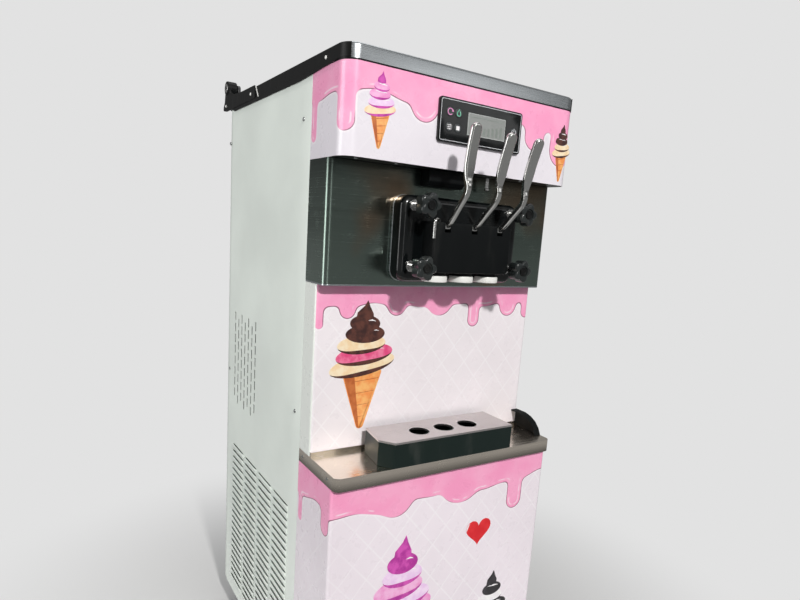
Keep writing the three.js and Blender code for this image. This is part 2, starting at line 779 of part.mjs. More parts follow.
// Head: rear flange, thicker front block and three nozzle collars, cut for the plungers,
// the levers, their shared pivot pin and the four clamp screws.
function dispensingHead() {
  const flange = prismY(
    roundedRectangle([HEAD_X - FLANGE_HALF, HEAD_X + FLANGE_HALF], FLANGE_Z, 18),
    [FLANGE_FRONT, FLANGE_BACK],
  );
  const block = prismY(
    roundedRectangle([HEAD_X - BLOCK_HALF, HEAD_X + BLOCK_HALF], BLOCK_Z, 6, 2),
    [BLOCK_FRONT, FLANGE_FRONT + 2],
  );
  const collars = LEVER_X.map((x) =>
    cylinder(NOZZLE_RADIUS, [NOZZLE_BOTTOM, BLOCK_Z[0] + 4], 'z', [x, PLUNGER_Y, 0], 20),
  );
  const bores = LEVER_X.map((x) =>
    cylinder(PLUNGER_RADIUS + GAP, [1000, 1200], 'z', [x, PLUNGER_Y, 0], 16),
  );
  const slots = LEVER_X.flatMap((x) => {
    const across = [x - SLOT_HALF, x + SLOT_HALF];
    const well = box(across, [PIVOT_Y + 1, FLANGE_FRONT + 0.3], [SLOT_FLOOR, 1200]);
    const notch = box(across, [BLOCK_FRONT - 5, PIVOT_Y + 2], [NOTCH_FLOOR, 1200]);
    return [well, notch];
  });
  const screwHoles = screwPlaces().map(([x, z]) =>
    cylinder(5 + GAP, [FLANGE_FRONT - 5, FLANGE_BACK + 5], 'y', [x, 0, z], 10),
  );
  const pinHole = cylinder(
    PIN_RADIUS + GAP,
    [HEAD_X - BLOCK_HALF - 5, HEAD_X + BLOCK_HALF + 5],
    'x',
    [0, PIVOT_Y, PIVOT_Z],
    12,
  );
  return cut(join(flange, block, ...collars), ...bores, ...slots, ...screwHoles, pinHole);
}

function screwPlaces() {
  const left = HEAD_X - SCREW_SPACING_X / 2;
  const right = HEAD_X + SCREW_SPACING_X / 2;
  return [[left, SCREW_Z[1]], [right, SCREW_Z[1]], [left, SCREW_Z[0]], [right, SCREW_Z[0]]];
}

// Clamp screw: five-lobed hand knob, collar and shank.
function clampScrew(x, z) {
  const lobes = [];
  for (let i = 0; i < 20; i += 1) {
    const angle = (i / 20) * 2 * Math.PI;
    const radius = KNOB_RADIUS + KNOB_LOBE * Math.cos(5 * angle);
    lobes.push([x + radius * Math.cos(angle), z + radius * Math.sin(angle)]);
  }
  const knob = prismY(lobes, [SIDE_FRONT - 178, SIDE_FRONT - 154]);
  const stem = turned(
    [
      [0, SIDE_FRONT - 155],
      [10, SIDE_FRONT - 155],
      [11.5, FLANGE_FRONT - GAP],
      [5, FLANGE_FRONT - GAP],
      [5, FLANGE_BACK - 1],
      [0, FLANGE_BACK - 1],
    ],
    'y',
    [x, 0, z],
    10,
  );
  const hub = cylinder(8, [SIDE_FRONT - 182, SIDE_FRONT - 176], 'y', [x, 0, z], 10);
  return join(knob, stem, hub);
}

function armTip() {
  const angle = THREE.MathUtils.degToRad(ARM_ANGLE);
  return [PIVOT_Y + ARM_LENGTH * Math.cos(angle), PIVOT_Z + ARM_LENGTH * Math.sin(angle)];
}

// Plunger: a round valve rod, notched at the front for the lever's arm.
function plunger(x) {
  const rod = cylinder(PLUNGER_RADIUS, [NOZZLE_BOTTOM + 4, 1124], 'z', [x, PLUNGER_Y, 0], 16);
  const [, tipZ] = armTip();
  const notch = box([x - 15, x + 15], [PLUNGER_Y - 15, PLUNGER_Y + 4], [tipZ - 6.5, tipZ + 6.5]);
  return cut(rod, notch);
}

// Lever: lifting arm, pivot boss, and a bar that slopes forward and bends up into the paddle.
function lever(x, leanDegrees) {
  const lean = THREE.MathUtils.degToRad(leanDegrees);
  const reach = [[-15, 9], [-40, 34], [-56, 50], [-61, 58], [-63, 68], [-62, 84], [-70, 126], [-84, 172]];
  const line = reach.map(([y, z]) => [
    PIVOT_Y + y * Math.cos(lean) - z * Math.sin(lean),
    PIVOT_Z + y * Math.sin(lean) + z * Math.cos(lean),
  ]);
  const tip = armTip();
  const pivot = [PIVOT_Y, PIVOT_Z];
  const paddleHalf = PADDLE_WIDTH / 2;
  const barHalf = BAR_WIDTH / 2;
  const bar = prismX(ribbon([pivot, ...line], LEVER_THICKNESS), [x - paddleHalf, x + paddleHalf]);
  const top = Math.max(...line.map((point) => point[1])) + 1;
  const [neck, shoulder] = PADDLE_RISE.map((rise) => PIVOT_Z + rise);
  const mask = prismY(
    [
      [x - barHalf, PIVOT_Z - 30],
      [x + barHalf, PIVOT_Z - 30],
      [x + barHalf, neck],
      [x + paddleHalf, shoulder],
      ...arc(x, top - paddleHalf, paddleHalf, 0, 180, 10),
      [x - paddleHalf, shoulder],
      [x - barHalf, neck],
    ],
    [PIVOT_Y - 150, PIVOT_Y + 50],
  );
  const narrow = [x - barHalf, x + barHalf];
  const arm = prismX(ribbon([tip, pivot], ARM_THICKNESS), narrow);
  const end = cylinder(3, narrow, 'x', [0, ...tip], 12);
  const boss = cylinder(7, [x - BOSS_WIDTH / 2, x + BOSS_WIDTH / 2], 'x', [0, ...pivot], 16);
  const bore = cylinder(PIN_RADIUS + GAP, [x - 20, x + 20], 'x', [0, ...pivot], 12);
  return cut(join(overlap(bar, mask), arm, end, boss), bore);
}

function switchHousing() {
  const outline = [
    [BAND_FRONT - GAP, HEADER_BOTTOM - GAP],
    [SIDE_FRONT - 112, HEADER_BOTTOM - GAP],
    [SIDE_FRONT - 112, 1203],
    [SIDE_FRONT - 104, 1194],
    [BAND_FRONT - GAP, 1194],
  ];
  return prismX(outline, [-75, 10]);
}

add('switch_housing', switchHousing(), 'blackPlastic');
add('dispensing_head', dispensingHead(), 'blackGloss');
add(
  'lever_pin',
  cylinder(
    PIN_RADIUS,
    [HEAD_X - BLOCK_HALF + 1, HEAD_X + BLOCK_HALF - 1],
    'x',
    [0, PIVOT_Y, PIVOT_Z],
    12,
  ),
  'plated',
);
LEVER_X.forEach((x, i) => {
  const place = ['left', 'middle', 'right'][i];
  add(`${place}_lever`, lever(x, LEVER_LEAN[i]), 'plated');
  add(`${place}_plunger`, plunger(x), 'whitePlastic');
});
screwPlaces().forEach(([x, z], i) => {
  const place = ['upper_left', 'upper_right', 'lower_left', 'lower_right'][i];
  add(`${place}_clamp_screw`, clampScrew(x, z), 'blackPlastic');
});

// ---------------------------------------------------------------- drip tray

function trayOutline(inset) {
  const centre = [-12, -122];
  return TRAY_OUTLINE.map(([x, forward]) => {
    const dx = x - centre[0];
    const dy = forward - centre[1];
    return [x - Math.sign(dx) * inset, SIDE_FRONT + forward - Math.sign(dy) * inset];
  });
}

function dripTray() {
  const shell = prismZ(trayOutline(0), [SHELF_TOP + GAP, TRAY_TOP - 4 - GAP]);
  return cut(shell, prismZ(trayOutline(2.5), [SHELF_TOP + 3, TRAY_TOP + 10]));
}

function dripTrayCover() {
  const plate = prismZ(trayOutline(0), [TRAY_TOP - 4, TRAY_TOP]);
  const holes = TRAY_HOLES_X.map((x) =>
    cylinder(TRAY_HOLE_RADIUS, [TRAY_TOP - 10, TRAY_TOP + 10], 'z', [x, TRAY_HOLE_Y, 0]),
  );
  return cut(plate, ...holes);
}

add('drip_tray', dripTray(), 'blackPlastic');
add('drip_tray_cover', dripTrayCover(), 'plated');

// ---------------------------------------------------------------- casters

function casterFork(x, y) {
  const axle = [x, y + CASTER_TRAIL, WHEEL_RADIUS];
  const plate = cylinder(28, [70, BODY_BOTTOM - GAP], 'z', [x, y, 0], 18);
  const side = [
    [y - 16, 71],
    [y + CASTER_TRAIL - 9, WHEEL_RADIUS],
    ...arc(axle[1], axle[2], 9, 180, 360, 4),
    [y + 20, 71],
  ];
  const legs = [-1, 1].map((hand) =>
    prismX(side, [x + hand * 16 - 2, x + hand * 16 + 2]),
  );
  const pin = cylinder(4.5, [x - 17, x + 17], 'x', [0, axle[1], axle[2]], 10);
  return join(plate, ...legs, pin);
}

function casterWheel(x, y) {
  const half = WHEEL_HALF_WIDTH;
  const profile = [
    [4.5 + GAP, -half],
    [WHEEL_RADIUS - 3, -half],
    [WHEEL_RADIUS, -half + 3],
    [WHEEL_RADIUS, half - 3],
    [WHEEL_RADIUS - 3, half],
    [4.5 + GAP, half],
    [4.5 + GAP, -half],
  ];
  return turned(profile, 'x', [x, y + CASTER_TRAIL, WHEEL_RADIUS], 18);
}

CASTER_Y.forEach((y, i) => {
  const end = ['front', 'rear'][i];
  [-1, 1].forEach((side) => {
    const name = `${end}_${side < 0 ? 'left' : 'right'}_caster`;
    add(`${name}_fork`, casterFork(side * CASTER_X, y), 'plated');
    add(`${name}_wheel`, casterWheel(side * CASTER_X, y), 'tyre');
  });
});

export default group;
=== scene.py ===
"""Looks of the floor-standing soft serve machine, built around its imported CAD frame.

Shapes are written in millimetres in the frame's own axes (+X right, -Y front, +Z up) and
scaled to metres when a mesh is made. Places come from the boxes of the CAD nodes.
"""

import json
import math

import bmesh
import bpy
import numpy as np
from mathutils import Matrix, Vector

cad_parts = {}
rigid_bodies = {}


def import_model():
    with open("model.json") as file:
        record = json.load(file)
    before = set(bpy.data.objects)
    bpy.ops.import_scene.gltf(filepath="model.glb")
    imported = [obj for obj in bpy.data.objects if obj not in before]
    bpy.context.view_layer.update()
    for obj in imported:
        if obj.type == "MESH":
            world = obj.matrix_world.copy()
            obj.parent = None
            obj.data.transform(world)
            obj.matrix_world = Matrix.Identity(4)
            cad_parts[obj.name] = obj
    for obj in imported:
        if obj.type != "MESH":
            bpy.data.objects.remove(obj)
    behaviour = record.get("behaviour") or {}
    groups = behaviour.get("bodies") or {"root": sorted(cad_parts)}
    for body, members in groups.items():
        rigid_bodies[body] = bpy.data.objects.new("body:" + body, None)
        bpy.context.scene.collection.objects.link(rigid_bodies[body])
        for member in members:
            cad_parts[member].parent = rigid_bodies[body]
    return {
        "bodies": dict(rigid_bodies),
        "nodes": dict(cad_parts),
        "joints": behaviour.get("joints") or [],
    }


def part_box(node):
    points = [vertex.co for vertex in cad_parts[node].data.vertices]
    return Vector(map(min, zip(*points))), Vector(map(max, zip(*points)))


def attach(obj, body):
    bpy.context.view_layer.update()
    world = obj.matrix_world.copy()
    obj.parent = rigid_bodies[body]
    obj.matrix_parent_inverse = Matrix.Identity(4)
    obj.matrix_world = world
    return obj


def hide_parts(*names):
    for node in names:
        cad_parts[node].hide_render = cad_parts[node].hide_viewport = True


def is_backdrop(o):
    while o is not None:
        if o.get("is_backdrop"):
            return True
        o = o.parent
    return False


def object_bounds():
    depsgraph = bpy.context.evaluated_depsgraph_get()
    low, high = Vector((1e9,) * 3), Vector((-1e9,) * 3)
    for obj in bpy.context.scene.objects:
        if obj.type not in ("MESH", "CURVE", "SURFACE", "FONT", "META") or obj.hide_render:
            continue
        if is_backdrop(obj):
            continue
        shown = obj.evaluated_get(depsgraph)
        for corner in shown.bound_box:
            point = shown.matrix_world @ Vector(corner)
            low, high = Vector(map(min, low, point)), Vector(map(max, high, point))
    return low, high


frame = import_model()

CAD_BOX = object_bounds()
MM = 0.001


# ------------------------------------------------------------------ places, from the frame

def span(node):
    """Lowest and highest corner of a CAD node, in millimetres."""
    low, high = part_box(node)
    return [v / MM for v in low], [v / MM for v in high]


SIDE_LOW, SIDE_HIGH = span("left_side_panel")
HALF = -SIDE_LOW[0]
SIDE_FRONT, REAR = SIDE_LOW[1], SIDE_HIGH[1]
HEADER_LOW, HEADER_HIGH = span("header_panel")
BAND_LOW, BAND_HIGH = span("splash_band")
MID_LOW = span("mid_panel")[0]
SHELF_LOW, SHELF_HIGH = span("drip_shelf")
LOWER_LOW = span("lower_front_panel")[0]
COVER_LOW = span("top_cover")[0]
HEAD_LOW, HEAD_HIGH = span("dispensing_head")

JOINTS = {joint["name"]: joint for joint in frame["joints"]}


def pivot(joint):
    """A joint's point, in millimetres."""
    return [v / MM for v in JOINTS[joint]["pos_m"]]


def centre(node):
    """The middle of a CAD node's box, in millimetres."""
    return [(a + b) / 2 for a, b in zip(*span(node))]


SHEET = 1.5
HEADER_RADIUS = 28
COVER_TOP = 1405.5
SIDES = (-1, 1)
LEVERS = ("left", "middle", "right")
LEVER_X = [pivot(f"{place}_lever_pivot")[0] for place in LEVERS]
PIVOT_Y, PIVOT_Z = pivot("middle_lever_pivot")[1:]
HINGE_Y, HINGE_Z = pivot("top_cover_hinge")[1:]
HEAD_X = centre("dispensing_head")[0]


# ------------------------------------------------------------------ outlines

def arc(a, b, radius, start, end, steps):
    """Points on an arc about (a, b), from start to end degrees."""
    angles = [math.radians(start + (end - start) * i / steps) for i in range(steps + 1)]
    return [(a + radius * math.cos(t), b + radius * math.sin(t)) for t in angles]


def rounded_box(a0, a1, b0, b1, radius, steps=8):
    return [
        *arc(a0 + radius, b0 + radius, radius, 180, 270, steps),
        *arc(a1 - radius, b0 + radius, radius, 270, 360, steps),
        *arc(a1 - radius, b1 - radius, radius, 0, 90, steps),
        *arc(a0 + radius, b1 - radius, radius, 90, 180, steps),
    ]


def rounded_polygon(corners, radius, steps=5):
    """A convex polygon with its corners rounded by quadratic curves."""
    points = []
    for i, corner in enumerate(corners):
        here = Vector(corner)
        before = Vector(corners[i - 1])
        after = Vector(corners[(i + 1) % len(corners)])
        start = here + (before - here).normalized() * radius
        end = here + (after - here).normalized() * radius
        for k in range(steps + 1):
            t = k / steps
            points.append(tuple(start * (1 - t) ** 2 + here * 2 * t * (1 - t) + end * t**2))
    return points


def both_ways(profile):
    """A closed profile from its lower half, mirrored about height zero."""
    return [*profile, *[(radius, -height) for radius, height in profile[::-1]], profile[0]]


def beside(side, near, far):
    """A span along X measured outwards from the cabinet's left (-1) or right (1) face."""
    return sorted((side * (HALF + near), side * (HALF + far)))


def on_both_sides(out, places):
    """Fixing places (y, z) on both side faces, some way out from them, with their directions."""
    return [((side * (HALF + out), y, z), (side, 0, 0)) for side in SIDES for y, z in places]


# ------------------------------------------------------------------ meshes

def new_object(name, data):
    obj = bpy.data.objects.new(name, data)
    bpy.context.scene.collection.objects.link(obj)
    return obj


def finish_mesh(obj, angle=32):
    """Welds a mesh, turns its faces outwards and shades it smooth up to an angle in degrees."""
    bm = bmesh.new()
    bm.from_mesh(obj.data)
    bmesh.ops.remove_doubles(bm, verts=bm.verts, dist=1e-7)
    bmesh.ops.recalc_face_normals(bm, faces=bm.faces)
    bm.to_mesh(obj.data)
    bm.free()
    obj.data.shade_smooth()
    obj.data.set_sharp_from_angle(angle=math.radians(angle))
    return obj


def raw_mesh(name, points, faces):
    """A mesh from points in millimetres."""
    mesh = bpy.data.meshes.new(name)
    mesh.from_pydata([Vector(p) * MM for p in points], [], faces)
    return mesh


def new_mesh(name, points, faces):
    return finish_mesh(new_object(name, raw_mesh(name, points, faces)))


def grid(rows, width, closed=False):
    """Quads between rows of points; when closed, each row's end meets its own start."""
    faces = []
    for r in range(rows - 1):
        for c in range(width if closed else width - 1):
            n = (c + 1) % width
            faces.append((r * width + c, r * width + n, (r + 1) * width + n, (r + 1) * width + c))
    return faces


def tube(name, points, count, hollow=False):
    """A body through rings of count points: capped or, when hollow, joined from end to start."""
    total = len(points)
    if hollow:
        faces = [[i % total for i in quad] for quad in grid(total // count + 1, count, True)]
    else:
        caps = [tuple(range(count)), tuple(range(total - 1, total - count - 1, -1))]
        faces = caps + grid(total // count, count, True)
    return new_mesh(name, points, faces)


AXES = {
    "x": lambda a, b, h: (h, a, b),
    "y": lambda a, b, h: (a, h, b),
    "z": lambda a, b, h: (a, b, h),
}


def stacked(name, rows, axis="z", hollow=False):
    """A body through (outline, height) rows whose outlines have equal numbers of points.

    An outline's two coordinates are the axes other than the given one, in X, Y, Z order.
    """
    put = AXES[axis]
    points = [put(a, b, h) for outline, h in rows for a, b in outline]
    return tube(name, points, len(rows[0][0]), hollow)


def prism(name, outline, heights, axis="z"):
    return stacked(name, [(outline, h) for h in heights], axis)


def ring_prism(name, outer, inner, heights, axis="z"):
    """A closed band between two outlines."""
    low, high = heights
    return stacked(name, [(outer, low), (outer, high), (inner, high), (inner, low)], axis, True)


def block(name, x, y, z):
    return prism(name, [(x[0], y[0]), (x[1], y[0]), (x[1], y[1]), (x[0], y[1])], z)


def lathe(name, profile, axis, place, segments=64):
    """A body of revolution; the profile is (radius, height along the axis) and may close."""
    loop = profile[0] == profile[-1]
    put = AXES[axis]
    points, rings = [], []
    for radius, height in profile[:-1] if loop else profile:
        count = 1 if radius < 1e-6 else segments
        rings.append(range(len(points), len(points) + count))
        for a, b in arc(0, 0, radius, 0, 360, segments)[:count]:
            points.append([p + c for p, c in zip(put(a, b, height), place)])
    faces = []
    for lower, upper in zip(rings, rings[1:] + rings[:1] if loop else rings[1:]):
        for k in range(segments):
            n = (k + 1) % segments
            ring = [lower[k % len(lower)], lower[n % len(lower)]]
            ring += [upper[n % len(upper)], upper[k % len(upper)]]
            face = list(dict.fromkeys(ring))
            if len(face) > 2:
                faces.append(face)
    return new_mesh(name, points, faces)


def rod(name, radius, ends, axis, place, rounding=0.6, segments=32):
    """A cylinder with chamfered rims; ends are measured along the axis from its place."""
    low, high = ends
    rim = radius - rounding
    profile = [(0, low), (rim, low), (radius, low + rounding)]
    profile += [(radius, high - rounding), (rim, high), (0, high)]
    return lathe(name, profile, axis, place, segments)


def modify(obj, kind, **settings):
    modifier = obj.modifiers.new(kind, kind)
    for key, value in settings.items():
        setattr(modifier, key, value)


def apply_modifiers(obj):
    graph = bpy.context.evaluated_depsgraph_get()
    mesh = bpy.data.meshes.new_from_object(obj.evaluated_get(graph))
    obj.modifiers.clear()
    obj.data = mesh
    return obj


def bevel(obj, width, segments=2, angle=30):
    """Rounds the edges sharper than the angle, by a width in millimetres."""
    settings = {"limit_method": "ANGLE", "angle_limit": math.radians(angle), "harden_normals": True}
    modify(obj, "BEVEL", width=width * MM, segments=segments, **settings)
    return apply_modifiers(obj)


def cut(obj, *tools):
    for tool in tools:
        modify(obj, "BOOLEAN", operation="DIFFERENCE", solver="EXACT", object=tool)
    apply_modifiers(obj)
    for tool in tools:
        bpy.data.objects.remove(tool)
    return finish_mesh(obj)


def shell(obj, thickness, offset=-1):
    modify(obj, "SOLIDIFY", thickness=thickness * MM, offset=offset, use_even_offset=True)
    return apply_modifiers(obj)


def join(name, pieces):
    """One object from several, keeping each one's materials."""
    first = pieces[0]
    with bpy.context.temp_override(active_object=first, object=first, selected_editable_objects=pieces):
        bpy.ops.object.join()
    first.name = name
    return first


def copy_node(node, name, width, segments=2):
    """The CAD node's own shape as a new piece, its flat faces made whole and its edges rounded."""
    bm = bmesh.new()
    bm.from_mesh(frame["nodes"][node].data)
    bmesh.ops.remove_doubles(bm, verts=bm.verts, dist=1e-6)
    bmesh.ops.dissolve_limit(bm, angle_limit=math.radians(0.5), verts=bm.verts, edges=bm.edges)
    mesh = bpy.data.meshes.new(name)
    bm.to_mesh(mesh)
    bm.free()
    return bevel(finish_mesh(new_object(name, mesh)), width, segments)


def place(obj, slot, material, *nodes, body="cabinet"):
    """Gives a piece its finish, the body it rides on and the CAD nodes that it stands for."""
    obj.data.materials.clear()
    obj.data.materials.append(material)
    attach(obj, body)
    if nodes:
        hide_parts(*nodes)


# ------------------------------------------------------------------ material building blocks

def srgb(red, green, blue):
    """A colour given as 0 to 255 screen values, in the renderer's linear values."""
    values = [value / 255 for value in (red, green, blue)]
    return (*[c / 12.92 if c <= 0.04045 else ((c + 0.055) / 1.055) ** 2.4 for c in values], 1)


def shade(colour, factor):
    return (*[min(1, c * factor) for c in colour[:3]], 1)


class Nodes:
    """Short calls for the nodes of a material or a world."""

    def __init__(self, tree):
        self.tree = tree

    def node(self, kind, inputs=None, **settings):
        made = self.tree.nodes.new(kind)
        for key, value in settings.items():
            setattr(made, key, value)
        for key, value in (inputs or {}).items():
            self.feed(made.inputs[key], value)
        return made

    def feed(self, socket, value):
        if isinstance(value, bpy.types.NodeSocket):
            self.tree.links.new(value, socket)
        else:
            socket.default_value = value

    def separate(self, vector):
        """A vector's X, Y and Z."""
        return self.node("ShaderNodeSeparateXYZ", {0: vector}).outputs

    def remap(self, value, old, new, smooth=False):
        kind = "SMOOTHSTEP" if smooth else "LINEAR"
        inputs = dict(enumerate((value, *old, *new)))
        return self.node("ShaderNodeMapRange", inputs, interpolation_type=kind).outputs[0]

    def math(self, operation, first, second=0.0):
        return self.node("ShaderNodeMath", {0: first, 1: second}, operation=operation).outputs[0]

    def multiply(self, first, second):
        return self.math("MULTIPLY", first, second)

    def camera_ray(self):
        return self.node("ShaderNodeLightPath").outputs["Is Camera Ray"]


class Finish(Nodes):
    """A material with the patterns that its surface is mixed from."""

    def __init__(self, name, colour, roughness=0.5, metallic=0.0, **sockets):
        self.material = bpy.data.materials.new(name)
        self.material.use_nodes = True
        super().__init__(self.material.node_tree)
        self.shader = self.tree.nodes["Principled BSDF"]
        self.set("Base Color", colour)
        self.set("Roughness", roughness)
        self.set("Metallic", metallic)
        for key, value in sockets.items():
            self.set(key.replace("_", " "), value)

    def set(self, socket, value):
        self.feed(self.shader.inputs[socket], value)

    def position(self, scale=(1, 1, 1)):
        """The piece's own coordinates in metres, scaled."""
        source = self.node("ShaderNodeTexCoord").outputs["Object"]
        return self.node("ShaderNodeMapping", {"Vector": source, "Scale": scale}).outputs[0]

    def noise(self, scale, detail=3, stretch=(1, 1, 1), roughness=0.55):
        inputs = {"Scale": scale, "Detail": detail, "Roughness": roughness}
        inputs["Vector"] = self.position(stretch)
        return self.node("ShaderNodeTexNoise", inputs).outputs["Fac"]

    def cloud(self, scale, detail, old, new=(0, 1)):
        """Smooth patches of noise."""
        return self.remap(self.noise(scale, detail), old, new, True)

    def cells(self, scale):
        inputs = {"Vector": self.position(), "Scale": scale}
        return self.node("ShaderNodeTexVoronoi", inputs).outputs

    def lattice(self, places, pitch, widths, smooth=True):
        """Lines that repeat every pitch along each of the given coordinates."""
        drawn = 0.0
        for coordinate in places:
            near = self.math("PINGPONG", coordinate, pitch / 2)
            drawn = self.math("MAXIMUM", drawn, self.remap(near, widths, (1, 0), smooth))
        return drawn

    def attribute(self, name, output):
        return self.node("ShaderNodeAttribute", attribute_name=name).outputs[output]

    def mix(self, factor, first, second):
        inputs = {0: factor, 6: first, 7: second}
        return self.node("ShaderNodeMix", inputs, data_type="RGBA").outputs[2]

    def bump(self, height, strength, distance):
        """A bump layer; distance is in millimetres."""
        inputs = {"Height": height, "Strength": strength, "Distance": distance * MM}
        self.set("Normal", self.node("ShaderNodeBump", inputs).outputs[0])


def painted(name, colour, roughness=0.38, grime=0.1):
    """Powder coat or enamel: orange peel, slow colour drift and faint dust low down."""
    finish = Finish(name, colour, roughness, Coat_Weight=0.15, Coat_Roughness=0.2)
    drift = finish.noise(3.5, 4)
    tone = finish.remap(drift, (0.3, 0.7), (0, 1), True)
    base = finish.mix(tone, shade(colour, 0.94), shade(colour, 1.04))
    low = finish.remap(finish.separate(finish.position())["Z"], (0.05, 0.45), (grime, 0.0), True)
    base = finish.mix(finish.multiply(low, finish.noise(14, 6)), base, srgb(120, 112, 98))
    speck = finish.remap(finish.noise(900, 2), (0.62, 0.8), (0, 0.06))
    finish.set("Base Color", finish.mix(speck, base, (0, 0, 0, 1)))
    finish.set("Roughness", finish.remap(drift, (0.2, 0.8), (roughness - 0.05, roughness + 0.09)))
    finish.bump(finish.noise(420, 2), 0.05, 0.3)
    return finish.material


def steel(
    name, colour, roughness, grain, variation=0.12, anisotropy=0.45, marks=0.08, shade_heights=None, reflection_tint=None
):
    """Brushed metal. Grain is the noise's stretch along X, Y and Z: small values run along.

    Shade_heights are the two heights, in metres, between which it darkens as a painted shade;
    reflection_tint is a second colour, a painted reflection, that comes through in broad clouds.
    """
    finish = Finish(name, colour, roughness, 1.0, Anisotropic=anisotropy)
    lines = finish.noise(1, 5, grain, 0.7)
    streaks = finish.remap(lines, (0.3, 0.7), (0, 1))
    base = finish.mix(streaks, shade(colour, 1 - variation), shade(colour, 1 + variation))
    broad = finish.remap(finish.noise(5, 3), (0.35, 0.7), (0, 0.35))
    base = finish.mix(broad, base, shade(colour, 0.72))
    # Painted reflection: a second colour that comes through in broad clouds.
    if reflection_tint:
        base = finish.mix(finish.cloud(4.5, 2, (0.5, 0.66)), base, reflection_tint)
    # Painted shade: the colour darkens between the two heights.
    if shade_heights:
        shadow = finish.remap(finish.separate(finish.position())["Z"], shade_heights, (0, 0.8), True)
        base = finish.mix(shadow, base, shade(colour, 0.12))
    finish.set("Base Color", base)
    rough = finish.remap(lines, (0.25, 0.75), (roughness - 0.07, roughness + 0.1))
    smear = finish.cloud(26, 6, (0.5, 0.75), (0, marks))
    finish.set("Roughness", finish.math("ADD", rough, smear))
    finish.bump(lines, variation, 0.12)
    return finish.material


def moulded(name, colour, roughness=0.5, texture=0.25, scale=700, dust=0.1, gloss=0.5, coat=0.0):
    """Moulded plastic: fine spark texture, wipe marks and a little dust."""
    finish = Finish(name, colour, roughness, Coat_Weight=coat, Specular_IOR_Level=gloss)
    wipes = finish.noise(1, 5, (34, 34, 9))
    dusty = finish.remap(wipes, (0.5, 0.8), (0, dust), True)
    finish.set("Base Color", finish.mix(dusty, colour, shade(srgb(175, 172, 165), 0.8)))
    finish.set("Roughness", finish.remap(wipes, (0.3, 0.75), (roughness - 0.05, roughness + 0.12)))
    finish.bump(finish.noise(scale, 2), texture, 0.15)
    return finish.material


def zinc(name, colour):
    """Galvanised sheet with its crystal spangle."""
    finish = Finish(name, colour, metallic=1.0)
    tone = finish.node("ShaderNodeSeparateColor", {0: finish.cells(55.0)["Color"]}).outputs[0]
    finish.set("Base Color", finish.mix(tone, shade(colour, 0.78), shade(colour, 1.12)))
    finish.set("Roughness", finish.remap(tone, (0, 1), (0.34, 0.54)))
    finish.bump(finish.noise(60, 4), 0.08, 0.3)
    return finish.material


def rubber(name, colour):
    """Tyre rubber, paler and rougher where it is scuffed."""
    finish = Finish(name, colour)
    scuff = finish.noise(60, 6)
    worn = finish.remap(scuff, (0.5, 0.7), (0, 0.35))
    finish.set("Base Color", finish.mix(worn, colour, srgb(128, 122, 112)))
    finish.set("Roughness", finish.remap(scuff, (0.3, 0.7), (0.62, 0.9)))
    finish.bump(finish.noise(320, 4), 0.3, 0.4)
    return finish.material


def foam(name, colour):
    """Open-celled foam or felt."""
    finish = Finish(name, colour, 0.9)
    cells = finish.cells(260.0)["Distance"]
    finish.set("Base Color", finish.mix(cells, shade(colour, 0.8), colour))
    finish.bump(cells, 0.6, 1.0)
    return finish.material


WAFFLE_PITCH = 62
WAFFLE_SLOPE = 0.86


def printed_enamel(name, ground, waffle, bare=None):
    """Printed front panel: icing above an edge, and a pale waffle lattice below it.

    The mesh carries two attributes: "wrap", which holds the distance along the sheet and the
    height in metres and whether the print reaches there, and "icing", the signed distance from
    the icing's edge in millimetres.
    """
    finish = Finish(name, ground, 0.3, Coat_Weight=0.25, Coat_Roughness=0.12)
    multiply = finish.multiply
    along, height, reached = finish.separate(finish.attribute("wrap", "Vector"))
    slanted = [
        finish.math("ADD", along, multiply(height, slope)) for slope in (WAFFLE_SLOPE, -WAFFLE_SLOPE)
    ]
    lines = finish.lattice(slanted, WAFFLE_PITCH * MM, (0.0008, 0.0032))
    tone = finish.mix(finish.cloud(5, 5, (0.3, 0.7)), ground, shade(ground, 0.93))
    fade = multiply(lines, finish.remap(finish.noise(4, 2), (0.35, 0.6), (0.25, 1)))
    tone = finish.mix(multiply(fade, waffle), tone, srgb(252, 250, 252))
    icing = finish.attribute("icing", "Fac")
    pink = finish.mix(finish.cloud(18, 3, (0.3, 0.7)), srgb(249, 158, 198), srgb(252, 174, 208))
    inner = finish.math("ABSOLUTE", finish.math("SUBTRACT", icing, 7.0))
    inner = finish.remap(inner, (0.6, 2.4), (1, 0), True)
    shine = multiply(inner, finish.cloud(22, 2, (0.5, 0.62), (0, 0.75)))
    pink = finish.mix(shine, pink, srgb(255, 232, 242))
    halo = finish.remap(icing, (-5.5, -0.5), (0, 0.7), True)
    tone = finish.mix(halo, tone, srgb(253, 244, 249))
    base = finish.mix(finish.remap(icing, (-0.25, 0.25), (0, 1)), tone, pink)
    edge = finish.remap(finish.math("ABSOLUTE", icing), (0.5, 1.2), (1, 0), True)
    broken = finish.cloud(9, 1, (0.4, 0.5), (0.1, 0.9))
    base = finish.mix(multiply(edge, broken), base, srgb(118, 54, 82))
    if bare:
        base = finish.mix(finish.remap(reached, (0.45, 0.55), (0, 1)), bare, base)
    finish.set("Base Color", base)
    finish.set("Roughness", finish.remap(finish.noise(40, 4), (0.3, 0.7), (0.24, 0.36)))
    finish.bump(finish.noise(380, 2), 0.012, 0.25)
    return finish.material


def ink(name, colour, second, scale=60):
    """Screen-printed ink that wanders between two colours."""
    first, second = srgb(*colour), srgb(*second)
    finish = Finish(f"ink_{name}", first, 0.32, Coat_Weight=0.25, Coat_Roughness=0.12)
    finish.set("Base Color", finish.mix(finish.cloud(scale, 3, (0.35, 0.65)), first, second))
    finish.bump(finish.noise(500, 2), 0.05, 0.2)
    return finish.material


